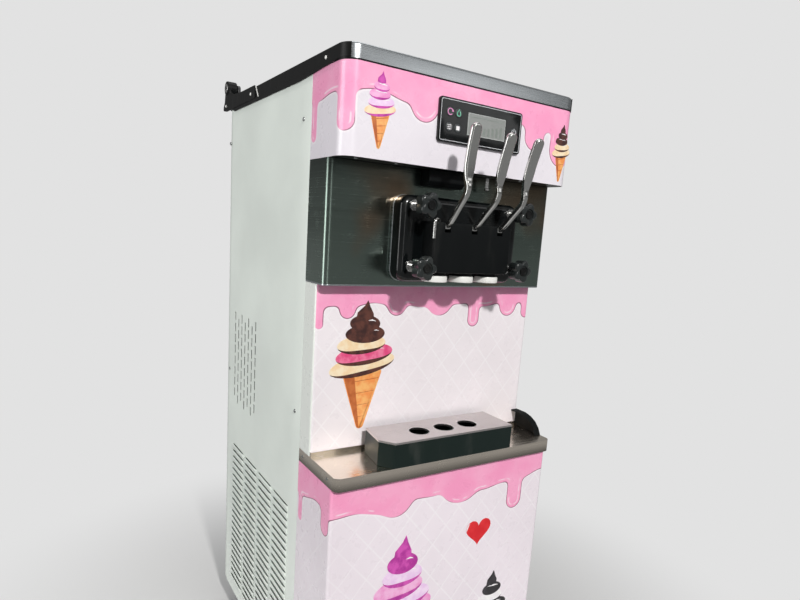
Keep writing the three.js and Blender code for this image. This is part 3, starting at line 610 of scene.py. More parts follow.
def liquid_crystal(name):
    """A grey display with a fine grid of cells."""
    finish = Finish(name, srgb(150, 158, 150), 0.16, Coat_Weight=0.6, Coat_Roughness=0.05)
    x, _, z = finish.separate(finish.position())
    grid_lines = finish.lattice((x, z), 0.0018, (0.00005, 0.00018), False)
    glow = finish.mix(finish.noise(20, 2), srgb(140, 143, 140), srgb(118, 122, 120))
    faint = finish.multiply(grid_lines, 0.25)
    finish.set("Base Color", finish.mix(faint, glow, srgb(110, 118, 112)))
    return finish.material


# ------------------------------------------------------------------ materials

ALONG_X = (3, 700, 900)
ALONG_Z = (900, 900, 6)
LEVEL_BRUSHING = (3, 3, 1100)
# Heights in metres over which the band darkens towards its top: painted shade under the header.
BAND_SHADE = (1.15, 1.25)
# Heights in metres over which the shelf darkens downwards below its top: painted shade on its front lip.
SHELF_SHADE = ((SHELF_HIGH[2] - 4) * MM, (SHELF_HIGH[2] - 30) * MM)
# A warm colour that comes through the band in clouds: a painted reflection of the surroundings.
WARM_REFLECTION = srgb(142, 124, 104)

SIDE_PAINT = painted("side_paint", srgb(232, 239, 232), 0.4)
BACK_PAINT = painted("back_paint", srgb(226, 232, 226), 0.45, 0.2)
# A dark underside finish that also stands for painted shade under the header's overhang.
DARK_FLOOR_AND_SHADE = painted("dark_floor_and_shade", srgb(34, 36, 36), 0.35, 0.0)
MOTOR_ENAMEL = painted("motor_enamel", srgb(34, 36, 38), 0.35, 0.15)
HINGE_ENAMEL = painted("hinge_enamel", srgb(30, 31, 33), 0.3, 0.0)
HEADER_PRINT = printed_enamel("header_print", srgb(236, 231, 238), 0.1)
FRONT_PRINT = printed_enamel("front_print", srgb(243, 234, 241), 0.42)
MIDDLE_PRINT = printed_enamel("middle_print", srgb(243, 236, 240), 0.42, srgb(236, 240, 234))
# The band's green cast and warm clouds are painted reflections, and its top darkens as painted shade
# under the header.
BAND_STEEL = steel(
    "band_steel", srgb(124, 138, 130), 0.2, LEVEL_BRUSHING, 0.05, shade_heights=BAND_SHADE, reflection_tint=WARM_REFLECTION
)
# The shelf's lip darkens below its top as painted shade.
SHELF_STEEL = steel("shelf_steel", srgb(253, 241, 226), 0.2, ALONG_X, 0.04, shade_heights=SHELF_SHADE)
TRIM_STEEL = steel("trim_steel", srgb(188, 193, 196), 0.27, LEVEL_BRUSHING, 0.04, 0.0, 0.04)
LEVER_STEEL = steel("lever_steel", srgb(206, 206, 203), 0.14, ALONG_Z, 0.06, 0.2)
BRIGHT_STEEL = steel("bright_steel", srgb(205, 205, 203), 0.22, (300, 300, 300), 0.05, 0.1)
LID_STEEL = steel("lid_steel", srgb(214, 208, 206), 0.3, ALONG_X, 0.07)
TUB_STEEL = steel("tub_steel", srgb(190, 190, 188), 0.25, (6, 6, 500), 0.07)
SCREW_STEEL = steel("screw_steel", srgb(150, 152, 152), 0.3, (200, 200, 200), 0.08, 0.0)
FORK_ZINC = steel("fork_zinc", srgb(178, 178, 172), 0.33, (120, 120, 120), 0.08, 0.0)
FINS = steel("fin_aluminium", srgb(186, 188, 190), 0.4, (20, 20, 600), 0.12, 0.0)
ZINC = zinc("galvanised_sheet", srgb(158, 162, 164))
# Black trim that also paints shade: the shadow under the cover's sides and the dark reflection along
# them.
DARK_TRIM_SHADE_AND_REFLECTION = moulded("dark_trim_shade_and_reflection", srgb(9, 10, 10), 0.38, 0.06, 500, 0.02, 0.2)
GLOSS_BLACK = moulded("gloss_black", srgb(10, 13, 14), 0.12, 0.04, 300, 0.03, 0.45)
BLOCK_BLACK = moulded("block_black", srgb(10, 13, 14), 0.5, 0.12, 500, 0.03, 0.15)
FINE_BLACK = moulded("fine_black", srgb(27, 30, 31), 0.45, 0.3, 800)
KNOB_BLACK = moulded("knob_black", srgb(36, 40, 40), 0.22, 0.12, 600, 0.08)
HUB_BLACK = moulded("hub_black", srgb(9, 10, 10), 0.35, 0.15, 600, 0.04, 0.3)
GUARD_BLACK = moulded("guard_black", srgb(11, 14, 14), 0.5, 0.08, 400, 0.04, 0.15)
TRAY_BLACK = moulded("tray_black", srgb(18, 31, 28), 0.4, 0.22, 600, 0.06, 0.3)
CAP_WHITE = moulded("cap_white", srgb(233, 233, 229), 0.4, 0.08, 500, 0.05, coat=0.2)
KEY_GREY = moulded("key_grey", srgb(60, 64, 66), 0.42, 0.15)
HUB_GREY = moulded("hub_grey", srgb(112, 114, 116), 0.45, 0.3)
LCD_EDGE = moulded("lcd_edge", srgb(176, 180, 178), 0.4, 0.1)
TYRE = rubber("caster_rubber", srgb(52, 53, 55))
FOAM = foam("yellow_foam", srgb(214, 202, 168))
FILTER = foam("filter_felt", srgb(56, 62, 60))
LCD = liquid_crystal("lcd")

INK_COLOURS = {
    "magenta": ((176, 42, 150), (214, 82, 182)),
    "pink": ((238, 150, 206), (246, 188, 226)),
    "rose": ((226, 74, 128), (240, 128, 164)),
    "lilac": ((246, 222, 246), (236, 200, 238)),
    "cocoa": ((58, 32, 30), (96, 56, 46)),
    "cream": ((250, 232, 200), (244, 214, 170)),
    "wafer": ((240, 150, 80), (246, 184, 112)),
    "toast": ((180, 92, 44), (202, 116, 60)),
    "black": ((28, 26, 30), (48, 44, 50)),
    "white": ((250, 248, 248), (240, 236, 240)),
    "red": ((216, 24, 36), (228, 44, 50), 30),
    "green": ((112, 206, 170), (150, 226, 196)),
    "grey": ((190, 192, 196), (206, 208, 212)),
    "lcd": ((126, 134, 128), (120, 128, 122)),
}
INKS = {name: ink(name, *colours) for name, colours in INK_COLOURS.items()}


# ------------------------------------------------------------------ printed front panels

class Wrap:
    """The outer face of a sheet that wraps the cabinet's front, unrolled from its middle."""

    def __init__(self, front, radius):
        self.front = front
        self.radius = radius
        self.flat = HALF - radius
        self.bend = radius * math.pi / 2
        self.side = SIDE_FRONT - 0.3 - front - radius
        self.reach = self.flat + self.bend + self.side

    def point(self, along, z):
        sign = -1 if along < 0 else 1
        beyond = abs(along) - self.flat
        if beyond <= 0:
            return (along, self.front, z)
        if beyond <= self.bend:
            angle = beyond / self.radius
            x = self.flat + self.radius * math.sin(angle)
            return (sign * x, self.front + self.radius * (1 - math.cos(angle)), z)
        return (sign * HALF, self.front + self.radius + beyond - self.bend, z)

    def on_side(self, y, sign=-1):
        """The unrolled distance of a depth on the left (-1) or right (1) face."""
        return sign * (self.flat + self.bend + y - self.front - self.radius)


def steps_between(start, end, pitch):
    count = max(1, math.ceil((end - start) / pitch))
    return [start + (end - start) * i / count for i in range(count + 1)]


ICING_MELT = 13.0
FINE_PITCH = 2.5
COARSE_PITCH = 25


def icing_distance(along, z, base, waves, drips):
    """Signed distance inside an icing's edge: a wavy band with hanging drips, melted together.

    A wave is (height, length, shift); a drip is its middle, its radius and its lowest height.
    """
    inside = z - base - sum(a * np.sin(along / length + shift) for a, length, shift in waves)
    for middle, radius, tip in drips:
        drop = radius - np.hypot(along - middle, np.clip(z, tip + radius, None) - z)
        blend = np.clip(0.5 + 0.5 * (drop - inside) / ICING_MELT, 0, 1)
        inside = inside * (1 - blend) + drop * blend + ICING_MELT * blend * (1 - blend)
    return inside


def printed_panel(name, node, wrap, icing, depth, slot, material, printed=math.inf):
    """A front panel's sheet with the attributes that its printed finish reads.

    The mesh is fine down to a depth below its top, where the icing is; the print stops at a
    distance from the sheet's middle.
    """
    bottom, top = (corner[2] for corner in span(node))
    columns = steps_between(-wrap.reach, wrap.reach, FINE_PITCH)
    split = max(bottom, top - depth)
    rows = steps_between(split, top, FINE_PITCH)
    if split > bottom:
        rows = steps_between(bottom, split, COARSE_PITCH)[:-1] + rows
    flat = np.array([(a, z) for z in rows for a in columns])
    mesh = raw_mesh(name, [wrap.point(a, z) for a, z in flat], grid(len(rows), len(columns)))
    values = np.column_stack([flat * MM, np.abs(flat[:, 0]) < printed])
    wrapped = mesh.attributes.new("wrap", "FLOAT_VECTOR", "POINT")
    wrapped.data.foreach_set("vector", values.astype(np.float32).ravel())
    distance = icing_distance(*flat.T, *icing)
    edge = mesh.attributes.new("icing", "FLOAT", "POINT")
    edge.data.foreach_set("value", distance.astype(np.float32))
    panel = shell(new_object(name, mesh), SHEET)
    panel.data.shade_smooth()
    panel.data.set_sharp_from_angle(angle=math.radians(40))
    place(panel, slot, material, node)


def header():
    wrap = Wrap(HEADER_LOW[1], HEADER_RADIUS)
    left, right = wrap.on_side(SIDE_FRONT - 14), wrap.on_side(SIDE_FRONT - 40, 1)
    drips = [
        (left, 11, 1254), (-268, 18, 1265), (-112, 30, 1300), (30, 22, 1312),
        (158, 26, 1286), (238, 34, 1262), (right, 15, 1250),
    ]
    icing = (1330, [(5, 41, 0.6), (3, 17, 1.2)], drips)
    height = HEADER_HIGH[2] - HEADER_LOW[2]
    printed_panel(
        "header_sheet", "header_panel", wrap, icing, height, "header_paint", HEADER_PRINT
    )
    inset = 1.8
    half, radius = HALF - inset, HEADER_RADIUS - inset
    front, back = HEADER_LOW[1] + HEADER_RADIUS, BAND_LOW[1] + 20
    outline = [
        *arc(-HALF + HEADER_RADIUS, front, radius, 180, 270, 12),
        *arc(HALF - HEADER_RADIUS, front, radius, 270, 360, 12),
        (half, back),
        (-half, back),
    ]
    floor_low = HEADER_LOW[2] + 0.5
    # The header's underside is dark partly as its own finish and partly as painted shade under the
    # overhang.
    underside = bevel(prism("header_floor", outline, (floor_low, floor_low + SHEET)), 0.4)
    place(underside, "header_paint", DARK_FLOOR_AND_SHADE)
    spots = [((x, HEADER_LOW[1] + 24, floor_low), (0, 0, -1)) for x in (-232, -150, 150, 232)]
    screws("header_floor_screws", spots, "header_paint", 4)


def middle_panel():
    wrap = Wrap(MID_LOW[1], 6)
    drips = [
        (-262, 8, 914), (-203, 17, 933), (-92, 22, 937), (14, 34, 935),
        (108, 15, 909), (207, 24, 931), (264, 14, 926),
    ]
    icing = (958, [(3, 29, 0.0), (2, 13, 0.5)], drips)
    printed = wrap.flat + wrap.bend / 2
    printed_panel(
        "middle_sheet", "mid_panel", wrap, icing, 112, "front_paint", MIDDLE_PRINT, printed
    )


def lower_panel():
    wrap = Wrap(LOWER_LOW[1], 6)
    side = wrap.on_side
    drips = [
        (side(SIDE_FRONT - 16), 9, 512), (side(SIDE_FRONT - 132), 16, 536), (-128, 40, 552),
        (34, 62, 550), (187, 21, 506), (side(SIDE_FRONT - 120, 1), 15, 528),
        (side(SIDE_FRONT - 30, 1), 11, 520),
    ]
    icing = (576, [(7, 47, 1.9), (4, 19, 0.2)], drips)
    printed_panel(
        "lower_sheet", "lower_front_panel", wrap, icing, 150, "front_paint", FRONT_PRINT
    )


# ------------------------------------------------------------------ printed motifs

def flat_print(name, shapes, front):
    """Thin ink layers on a front-facing sheet: (outline in x and z, ink, layer)."""
    parts = []
    for outline, colour, layer in shapes:
        part = prism(name, outline, (front - 0.1 - 0.07 * layer, front + 0.4), "y")
        part.data.materials.append(INKS[colour])
        parts.append(part)
    motif = join(name, parts)
    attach(motif, "cabinet")


def turned(x, z, u, v, degrees):
    """The point (u, v) turned about zero and moved to (x, z)."""
    c, s = math.cos(math.radians(degrees)), math.sin(math.radians(degrees))
    return x + u * c - v * s, z + u * s + v * c


def ellipse(x, z, a, b, tilt=0, steps=36, squash=0.0):
    """An ellipse whose underside can be flattened."""
    points = [(u, v * (1 - squash) if v < 0 else v) for u, v in arc(0, 0, 1, 0, 360, steps)[:-1]]
    return [turned(x, z, a * u, b * v, tilt) for u, v in points]


def crescent(x, z, a, b, tilt, start, end, thickness, steps=14):
    """A band that follows the inside of an ellipse's edge and fades out at both ends."""
    outer, inner = [], []
    for i, (u, v) in enumerate(arc(0, 0, 1, start, end, steps)):
        shrink = thickness * math.sin(math.pi * i / steps)
        outer.append(turned(x, z, a * u, b * v, tilt))
        inner.append(turned(x, z, (a - shrink) * u, (b - shrink) * v, tilt))
    return outer + inner[1:-1][::-1]


def cone_motif(name, front, x, tip, width, height, swirl):
    """A plain soft serve cone: tapered wafer, stacked swirl and a curled tip."""
    *layers, last = swirl.split()
    rim = tip + height * 0.46
    half, foot = width * 0.31, width * 0.045
    wafer = [(x - half, rim), (x + half, rim), (x + foot, tip), (x - foot, tip)]
    shaded = [(x - half * 0.95, rim), (x - half * 0.4, rim)]
    shaded += [(x - width * 0.01, tip + 2), (x - width * 0.04, tip + 2)]
    shapes = [(rounded_polygon(wafer, width * 0.05), "wafer", 0), (shaded, "toast", 1)]
    for k in range(1, 5):
        share = 1 - k / 5
        left, right = x - half * share - 1, x + half * share + 1
        z = tip + (rim - tip) * share
        stripe = [(left, z), (left, z + 1.4), (right, z + 9.4 * share), (right, z + 8 * share)]
        shapes.append((stripe, "toast", 2))
    for k, colour in enumerate(layers):
        share = k / len(layers)
        a = width * 0.5 * (1 - 0.68 * share)
        b = height * 0.085 * (1 - 0.3 * share)
        middle = (x + width * 0.03 * math.sin(2.3 * k), rim + height * (0.045 + 0.40 * share))
        tilt = 9 - 3 * k
        shadow = crescent(*middle, a, b, tilt, 190, 352, b * 0.42)
        glint = crescent(*middle, a * 0.8, b * 0.62, tilt, 28, 128, b * 0.26)
        shapes.append((ellipse(*middle, a, b, tilt, squash=0.15), colour, 3 + 2 * k))
        shapes += [(shadow, last, 4 + 2 * k), (glint, "white", 4 + 2 * k)]
    base = rim + height * 0.40
    curl = [
        (-1, 0), (-0.9, 0.05), (-0.1, 0.10), (0.25, 0.14), (0.55, 0.09), (0.95, 0.04), (1, 0), (0, -0.02)
    ]
    curl = [(x + width * 0.13 * a, base + height * b) for a, b in curl]
    flat_print(name, [*shapes, (curl, last, 5 + 2 * len(layers))], front)


def heart_motif():
    """A plain heart on the lower panel."""
    points = []
    for i in range(48):
        t = 2 * math.pi * i / 48
        a = 16 * math.sin(t) ** 3
        b = 13 * math.cos(t) - 5 * math.cos(2 * t) - 2 * math.cos(3 * t) - math.cos(4 * t)
        points.append((91 + 2.15 * a, 472 + 2.1 * b))
    glint = crescent(72, 482, 15, 13, 20, 95, 190, 4)
    flat_print("heart_print", [(points, "red", 0), (glint, "white", 1)], LOWER_LOW[1])


# Each cone's sheet, middle, tip, width and height, and its swirl's inks from the wafer up. The
# last ink is the curled tip's, and draws the shadow lines too.
CONES = {
    "header_left_cone": (HEADER_LOW, -203, 1242, 62, 126, "cream lilac pink pink magenta"),
    "header_right_cone": (HEADER_LOW, 238, 1232, 52, 116, "cream cream cocoa cocoa cocoa"),
    "middle_cone": (MID_LOW, -164, 706, 148, 262, "cream rose cream cocoa cocoa cocoa"),
    "lower_left_cone": (LOWER_LOW, -104, 160, 160, 346, "pink lilac pink lilac magenta magenta"),
    "lower_right_cone": (LOWER_LOW, 146, 128, 112, 232, "white black white black black"),
}


def motifs():
    for name, (sheet, *numbers) in CONES.items():
        cone_motif(name, sheet[1], *numbers)
    heart_motif()


# ------------------------------------------------------------------ repeated small parts

def repeated(name, master, placements):
    """One mesh from many placed copies of a master, which is removed."""
    bm = bmesh.new()
    for matrix in placements:
        copy = master.data.copy()
        copy.transform(matrix)
        bm.from_mesh(copy)
        bpy.data.meshes.remove(copy)
    mesh = bpy.data.meshes.new(name)
    bm.to_mesh(mesh)
    bm.free()
    bpy.data.objects.remove(master)
    return finish_mesh(new_object(name, mesh))


def fasten(name, head, spots):
    """Copies of a head that stands on the XY plane, at each (position, outward direction)."""
    placements = []
    for position, direction in spots:
        turn = Vector(direction).to_track_quat("Z", "Y").to_matrix().to_4x4()
        placements.append(Matrix.Translation(Vector(position) * MM) @ turn)
    return repeated(name, head, placements)


def screws(name, spots, slot, radius=4.6):
    """Pan-head screws with a cross recess."""
    dome = [(0, -1), (radius, -1), (radius, 0.5), (radius * 0.9, 1.5), (radius * 0.55, 2.2), (0, 2.4)]
    head = lathe("screw", dome, "z", (0, 0, 0), 24)
    long, short, depth = radius * 0.55, radius * 0.13, (1.2, 5)
    recess = [block("recess", (-a, a), (-b, b), depth) for a, b in ((long, short), (short, long))]
    place(fasten(name, cut(head, *recess), spots), slot, SCREW_STEEL)


def rivets(name, spots, slot, radius, material, body="cabinet"):
    """Domed blind rivets with their mandrel pits."""
    profile = [(0, -1), (radius, -1), (radius, 0.3), (radius * 0.8, 1.1), (radius * 0.42, 1.5)]
    profile += [(radius * 0.3, 0.9), (0, 0.9)]
    head = lathe("rivet", profile, "z", (0, 0, 0), 24)
    place(fasten(name, head, spots), slot, material, body=body)


# ------------------------------------------------------------------ slotted sheets

def sheet_with_slots(name, path, heights, slots):
    """Sheet along a path of (distance, x, y) with rectangular slots (from, to, low, high)."""
    def cuts(start, end, index):
        return {v for slot in slots for v in slot[index:index + 2] if start < v < end}

    distances = sorted({d for d, _, _ in path} | cuts(0, path[-1][0], 0))
    rows = sorted({*heights, *cuts(*heights, 2)})
    known = np.array(path).T
    xs, ys = (np.interp(distances, known[0], values) for values in known[1:])

    def whole(quad):
        row, column = divmod(quad[0], len(distances))
        along, z = sum(distances[column:column + 2]) / 2, sum(rows[row:row + 2]) / 2
        return not any(a < along < b and low < z < high for a, b, low, high in slots)

    points = [(x, y, z) for z in rows for x, y in zip(xs, ys)]
    return new_mesh(name, points, list(filter(whole, grid(len(rows), len(distances)))))


def measured(points):
    """Adds the running distance to a path of (x, y)."""
    total, before, path = 0, points[0], []
    for point in points:
        total += math.dist(before, point)
        path.append((total, *point))
        before = point
    return path


# Louvres and vents repeat the CAD's layout, measured back from the side panels' front edge.
LOUVRE = {"from": 52, "top": 512, "pitch": 17.5, "rows": 23, "columns": 4, "length": 88, "open": 5}
LOUVRE_STEP = LOUVRE["length"] + 16
VENT = {"from": 286, "top": 870, "across": 27, "down": 29, "rows": 8, "columns": 7}
VENT_WIDTH, VENT_HEIGHT = 8, 22
FOLD = 2.5
SEAM = SIDE_FRONT + 503
SEAM_STEP = 1.9
REAR_RADIUS = 22


def louvre_corners():
    """Front top corner of each louvre on a side panel, as (y, z)."""
    for column in range(LOUVRE["columns"]):
        for row in range(LOUVRE["rows"]):
            y = SIDE_FRONT + LOUVRE["from"] + column * LOUVRE_STEP
            yield y, LOUVRE["top"] - row * LOUVRE["pitch"]


def vent_corners():
    """Front top corner of each vent; every second column sits half a step lower."""
    for column in range(VENT["columns"]):
        for row in range(VENT["rows"]):
            drop = VENT["down"] * (row + column % 2 / 2)
            yield SIDE_FRONT + VENT["from"] + column * VENT["across"], VENT["top"] - drop


def louvre_hood():
    """One pressed lip under a slot, open upwards, at the origin: +Y along it and -X outwards."""
    length = LOUVRE["length"] + 4
    across = [(2.5, -0.9), (2.8, -1.8), (2.7, -4.2), (2.2, -7.4), (1.2, -10.6), (0.0, -13.0)]
    steps = [0, 1, 2.5, 4.5, 7, 10, 14, length / 3, length / 2]
    places = steps + [length - s for s in reversed(steps[:-1])]
    points = []
    for y in places:
        rise = math.sin(math.pi / 2 * min(1, y / 12, (length - y) / 12)) ** 0.8
        points += [(-0.05 - out * rise, y - 2, z) for out, z in across]
    return shell(new_mesh("hood", points, grid(len(places), len(across))), 1.1, 1)


def side_panel(name, side):
    rear, corner = REAR - REAR_RADIUS, HALF - REAR_RADIUS
    turn = math.degrees(math.acos(1 - SEAM_STEP / REAR_RADIUS))
    half_path = [
        (HALF - 15, SIDE_FRONT),
        *arc(HALF - FOLD, SIDE_FRONT + FOLD, FOLD, -90, 0, 4),
        (HALF, SEAM - SEAM_STEP),
        (HALF - SEAM_STEP, SEAM),
        *arc(corner, rear, REAR_RADIUS, turn, 90, 10),
        (HALF - 30, REAR),
    ]
    path = measured([(side * x, y) for x, y in half_path])
    start = path[5][0] - path[5][2]
    openings = [(y, LOUVRE["length"], LOUVRE["open"], z) for y, z in louvre_corners()]
    if side < 0:
        openings += [(y, VENT_WIDTH, VENT_HEIGHT, z) for y, z in vent_corners()]
    slots = [(start + y, start + y + wide, z - tall, z) for y, wide, tall, z in openings]
    panel = sheet_with_slots(f"{name}_sheet", path, (SIDE_LOW[2], SIDE_HIGH[2]), slots)
    outward = side * sum(face.normal.x * face.area for face in panel.data.polygons)
    panel = finish_mesh(shell(panel, SHEET, -1 if outward > 0 else 1), 40)
    mirror = Matrix.Scale(-side, 4, (1, 0, 0))
    edges = [Matrix.Translation(Vector((-HALF, y, z)) * MM) for y, z in louvre_corners()]
    hoods = repeated(f"{name}_hoods", louvre_hood(), [mirror @ edge for edge in edges])
    place(join(name, [panel, hoods]), "side_paint", SIDE_PAINT, name)
    side_filter(f"{name}_filter", side)


def side_filter(name, side):
    """Dark felt behind the louvres and, on the left, behind the vents."""
    inner = beside(side, -3.2, -5.2)
    front = SIDE_FRONT + LOUVRE["from"] - 10
    bottom = LOUVRE["top"] - (LOUVRE["rows"] - 1) * LOUVRE["pitch"] - 14
    back = front + LOUVRE["columns"] * LOUVRE_STEP + 4
    felts = [block("felt", inner, (front, back), (bottom, LOUVRE["top"] + 10))]
    if side < 0:
        front = SIDE_FRONT + VENT["from"] - 10
        bottom = VENT["top"] - VENT["rows"] * VENT["down"] - 22
        back = front + VENT["columns"] * VENT["across"]
        felts.append(block("felt", inner, (front, back), (bottom, VENT["top"] + 10)))
    place(join(name, felts), "black_plastic", FILTER)


def back_panel():
    half, top, foot = HALF - 30.3, 1377.3, SIDE_LOW[2] + 26
    path = [(0, half, REAR - 0.1), (2 * half, -half, REAR - 0.1)]
    slots = [
        (half - x - 130, half - x, upper - 6, upper)
        for x in (-150, 20)
        for upper in (480 - row * 26 for row in range(12))
    ]
    panel = finish_mesh(shell(sheet_with_slots("back_sheet", path, (foot, top), slots), SHEET, 0))
    place(panel, "side_paint", BACK_PAINT, "back_panel")
    spots = [((x, REAR, z), (0, 1, 0)) for x in (-228, 228) for z in (125, 420, 730, 1040, 1290)]
    screws("back_screws", spots, "stainless")


# ------------------------------------------------------------------ cabinet

CYLINDER_X = 60
CYLINDER_Z = 1098
CYLINDER_HOLE = 52.3

# Parts whose own CAD shape is enough: slot, finish, and the width and segments of their edges.
SKINS = {
    "drip_shelf": ("stainless", SHELF_STEEL, 1.6, 4),
    "splash_guard": ("black_plastic", GUARD_BLACK, 0.9, 3),
    "base_tray": ("galvanised", ZINC, 0.8),
    "machine_deck": ("galvanised", ZINC, 0.4),
    "insulation_block": ("foam", FOAM, 3),
    "left_freezing_cylinder": ("polished_steel", TUB_STEEL, 0.8),
    "right_freezing_cylinder": ("polished_steel", TUB_STEEL, 0.8),
    "left_dasher": ("polished_steel", BRIGHT_STEEL, 0.6),
    "right_dasher": ("polished_steel", BRIGHT_STEEL, 0.6),
    "left_gear_motor": ("motor_enamel", MOTOR_ENAMEL, 2.5),
    "right_gear_motor": ("motor_enamel", MOTOR_ENAMEL, 2.5),
    "compressor": ("motor_enamel", MOTOR_ENAMEL, 3),
    "condenser": ("fin_aluminium", FINS, 0.5),
    "fan_shroud": ("galvanised", ZINC, 0.8),
    "condenser_fan": ("black_plastic", FINE_BLACK, 0.6),
    "hopper_deck": ("stainless", TUB_STEEL, 0.5),
    "left_hopper": ("polished_steel", TUB_STEEL, 0.8, 3),
    "right_hopper": ("polished_steel", TUB_STEEL, 0.8, 3),
    "left_cover_hinge": ("hinge_steel", HINGE_ENAMEL, 0.8, 3),
    "right_cover_hinge": ("hinge_steel", HINGE_ENAMEL, 0.8, 3),
    "left_plunger": ("white_plastic", CAP_WHITE, 0.5),
    "middle_plunger": ("white_plastic", CAP_WHITE, 0.5),
    "right_plunger": ("white_plastic", CAP_WHITE, 0.5),
    "drip_tray": ("tray_plastic", TRAY_BLACK, 1.0, 3),
}


def skins():
    for node, (slot, material, *edges) in SKINS.items():
        body = node if node in frame["bodies"] else "cabinet"
        place(copy_node(node, f"{node}_skin", *edges), slot, material, node, body=body)


def side_screws():
    places = ((35, 1300), (517, 1296), (29, 730), (496, 709), (300, 96), (60, 96))
    spots = on_both_sides(0, [(SIDE_FRONT + y, z) for y, z in places])
    screws("side_screws", spots, "stainless", 4.2)


def splash_band():
    """The band's sheet with the cylinders' holes, its rolled lip and the return under it."""
    wrap = Wrap(BAND_LOW[1], 10)
    columns = steps_between(-wrap.reach, wrap.reach, 5)
    bottom = BAND_LOW[2]
    points = [wrap.point(a, z) for z in (bottom + 3, BAND_HIGH[2]) for a in columns]
    sheet = shell(new_mesh("band_sheet", points, grid(2, len(columns))), SHEET)
    places = [(HEAD_X + side * CYLINDER_X, BAND_LOW[1], CYLINDER_Z) for side in SIDES]
    cut(sheet, *[rod("bore", CYLINDER_HOLE, (-6, 6), "y", place, 0.1, 48) for place in places])
    rim = [wrap.point(a, 0)[:2] for a in columns]
    inner = [(a * 0.985, b + 6) for a, b in rim]
    lip = bevel(prism("band_lip", rim + inner[::-1], (bottom, bottom + 3.2)), 0.8, 3)
    half = HALF - 3
    depths = (BAND_LOW[1] + 3, MID_LOW[1] + 6)
    under = block("band_return", (-half, half), depths, (bottom, bottom + 1.4))
    place(join("splash_band_skin", [sheet, under]), "stainless", BAND_STEEL, "splash_band")
    place(lip, "stainless", TRIM_STEEL)


def shelf_trim():
    """Rivets on the shelf's skirt and its upstand round the middle panel's foot."""
    skirt = (SHELF_LOW[2] + SHELF_HIGH[2]) / 2 + 1
    places = [(SHELF_LOW[1] + 36, skirt), (SIDE_FRONT - 18, skirt)]
    rivets("shelf_rivets", on_both_sides(0, places), "stainless", 3.2, SCREW_STEEL)
    left, right, front, thick = 2.2 - HALF, HALF - 6, MID_LOW[1] - 1.6, 1.2
    strip = [(left - thick, SIDE_FRONT - 4), (left - thick, front - thick), (right, front - thick)]
    strip += [(right, front), (left, front), (left, SIDE_FRONT - 4)]
    upstand = prism("shelf_upstand", strip, (SHELF_HIGH[2] - 0.5, SHELF_HIGH[2] + 9))
    place(bevel(upstand, 0.4), "stainless", SHELF_STEEL)


def feed_tubes():
    """The tube that stands in each hopper, with its feed port."""
    profile = [(6, 0.2), (11, 0.2), (11, 4), (9, 6), (9, 96), (8, 98), (6.5, 98), (6, 96), (6, 0.2)]
    for side in ("left", "right"):
        low = span(f"{side}_hopper")[0]
        x, y, floor = centre(f"{side}_hopper")[0], low[1] + 60, low[2] + 2
        feed = lathe(f"{side}_feed_tube", profile, "z", (x, y, floor))
        cut(feed, rod("port", 3, (-14, 0), "y", (x, y, floor + 20), 0.1))
        place(feed, "polished_steel", BRIGHT_STEEL)


def power_inlet():
    low, high = span("power_inlet")
    x, _, z = centre("power_inlet")
    plate = rounded_box(low[0], high[0], low[2], high[2], 4)
    plate = bevel(prism("inlet", plate, (low[1], low[1] + 3), "y"), 0.5)
    corners = ((-17, -11), (17, -11), (17, 5), (10, 12), (-10, 12), (-17, 5))
    rim = rounded_polygon([(x + a, z + b) for a, b in corners], 3)
    boss = bevel(prism("inlet_boss", rim, (low[1], high[1]), "y"), 0.6)
    inner = [(x + (a - x) * 0.84, z + (b - z) * 0.8) for a, b in rim]
    for piece in (plate, boss):
        cut(piece, prism("well", inner, (low[1] + 1.2, high[1] + 4), "y"))
    place(join("power_inlet_skin", [plate, boss]), "black_plastic", FINE_BLACK, "power_inlet")
    deep = (low[1] + 1, high[1] - 1)
    pins = [
        bevel(block("pin", (x + a - 1, x + a + 1), deep, (z + b - 2.4, z + b + 2.4)), 0.4)
        for a, b in ((-7, -2), (7, -2), (0, 4))
    ]
    place(join("power_inlet_pins", pins), "polished_steel", BRIGHT_STEEL)
    spots = [((x + a, low[1] + 3, z), (0, 1, 0)) for a in (-24, 24)]
    screws("power_inlet_screws", spots, "black_plastic", 2.8)


# ------------------------------------------------------------------ top cover

COVER_REAR = HINGE_Y - 17
ARM_FRONT = SIDE_FRONT + 325
RIVET_Z = 1391


def rounding(radius, steps=5):
    """Inset and drop of a rounded edge, from the side up to the face."""
    return [(radius - a, radius - b) for a, b in arc(0, 0, radius, 0, 90, steps)]


def cover_outline(inset):
    """The cover's plan, drawn in from its edge."""
    corner, front = HALF - HEADER_RADIUS, COVER_LOW[1] + HEADER_RADIUS
    side, rear, small = HALF - 8, COVER_REAR - 8, 8 - inset
    return [
        *arc(-corner, front, HEADER_RADIUS - inset, 180, 270, 14),
        *arc(corner, front, HEADER_RADIUS - inset, 270, 360, 14),
        *arc(side, rear, small, 0, 90, 6),
        *arc(-side, rear, small, 90, 180, 6),
    ]


def line_edges(points, width, closed=False):
    """Both edges of a line of even width through points."""
    left, right = [], []
    count = len(points)
    for i, (a, b) in enumerate(points):
        before = points[i - 1] if i or closed else points[i]
        after = points[(i + 1) % count] if i < count - 1 or closed else points[i]
        along = Vector((after[0] - before[0], after[1] - before[1])).normalized() * width / 2
        left.append((a - along.y, b + along.x))
        right.append((a + along.y, b - along.x))
    return left, right


def stroke(points, width):
    """The outline of a line of even width through points."""
    left, right = line_edges(points, width)
    return left + right[::-1]


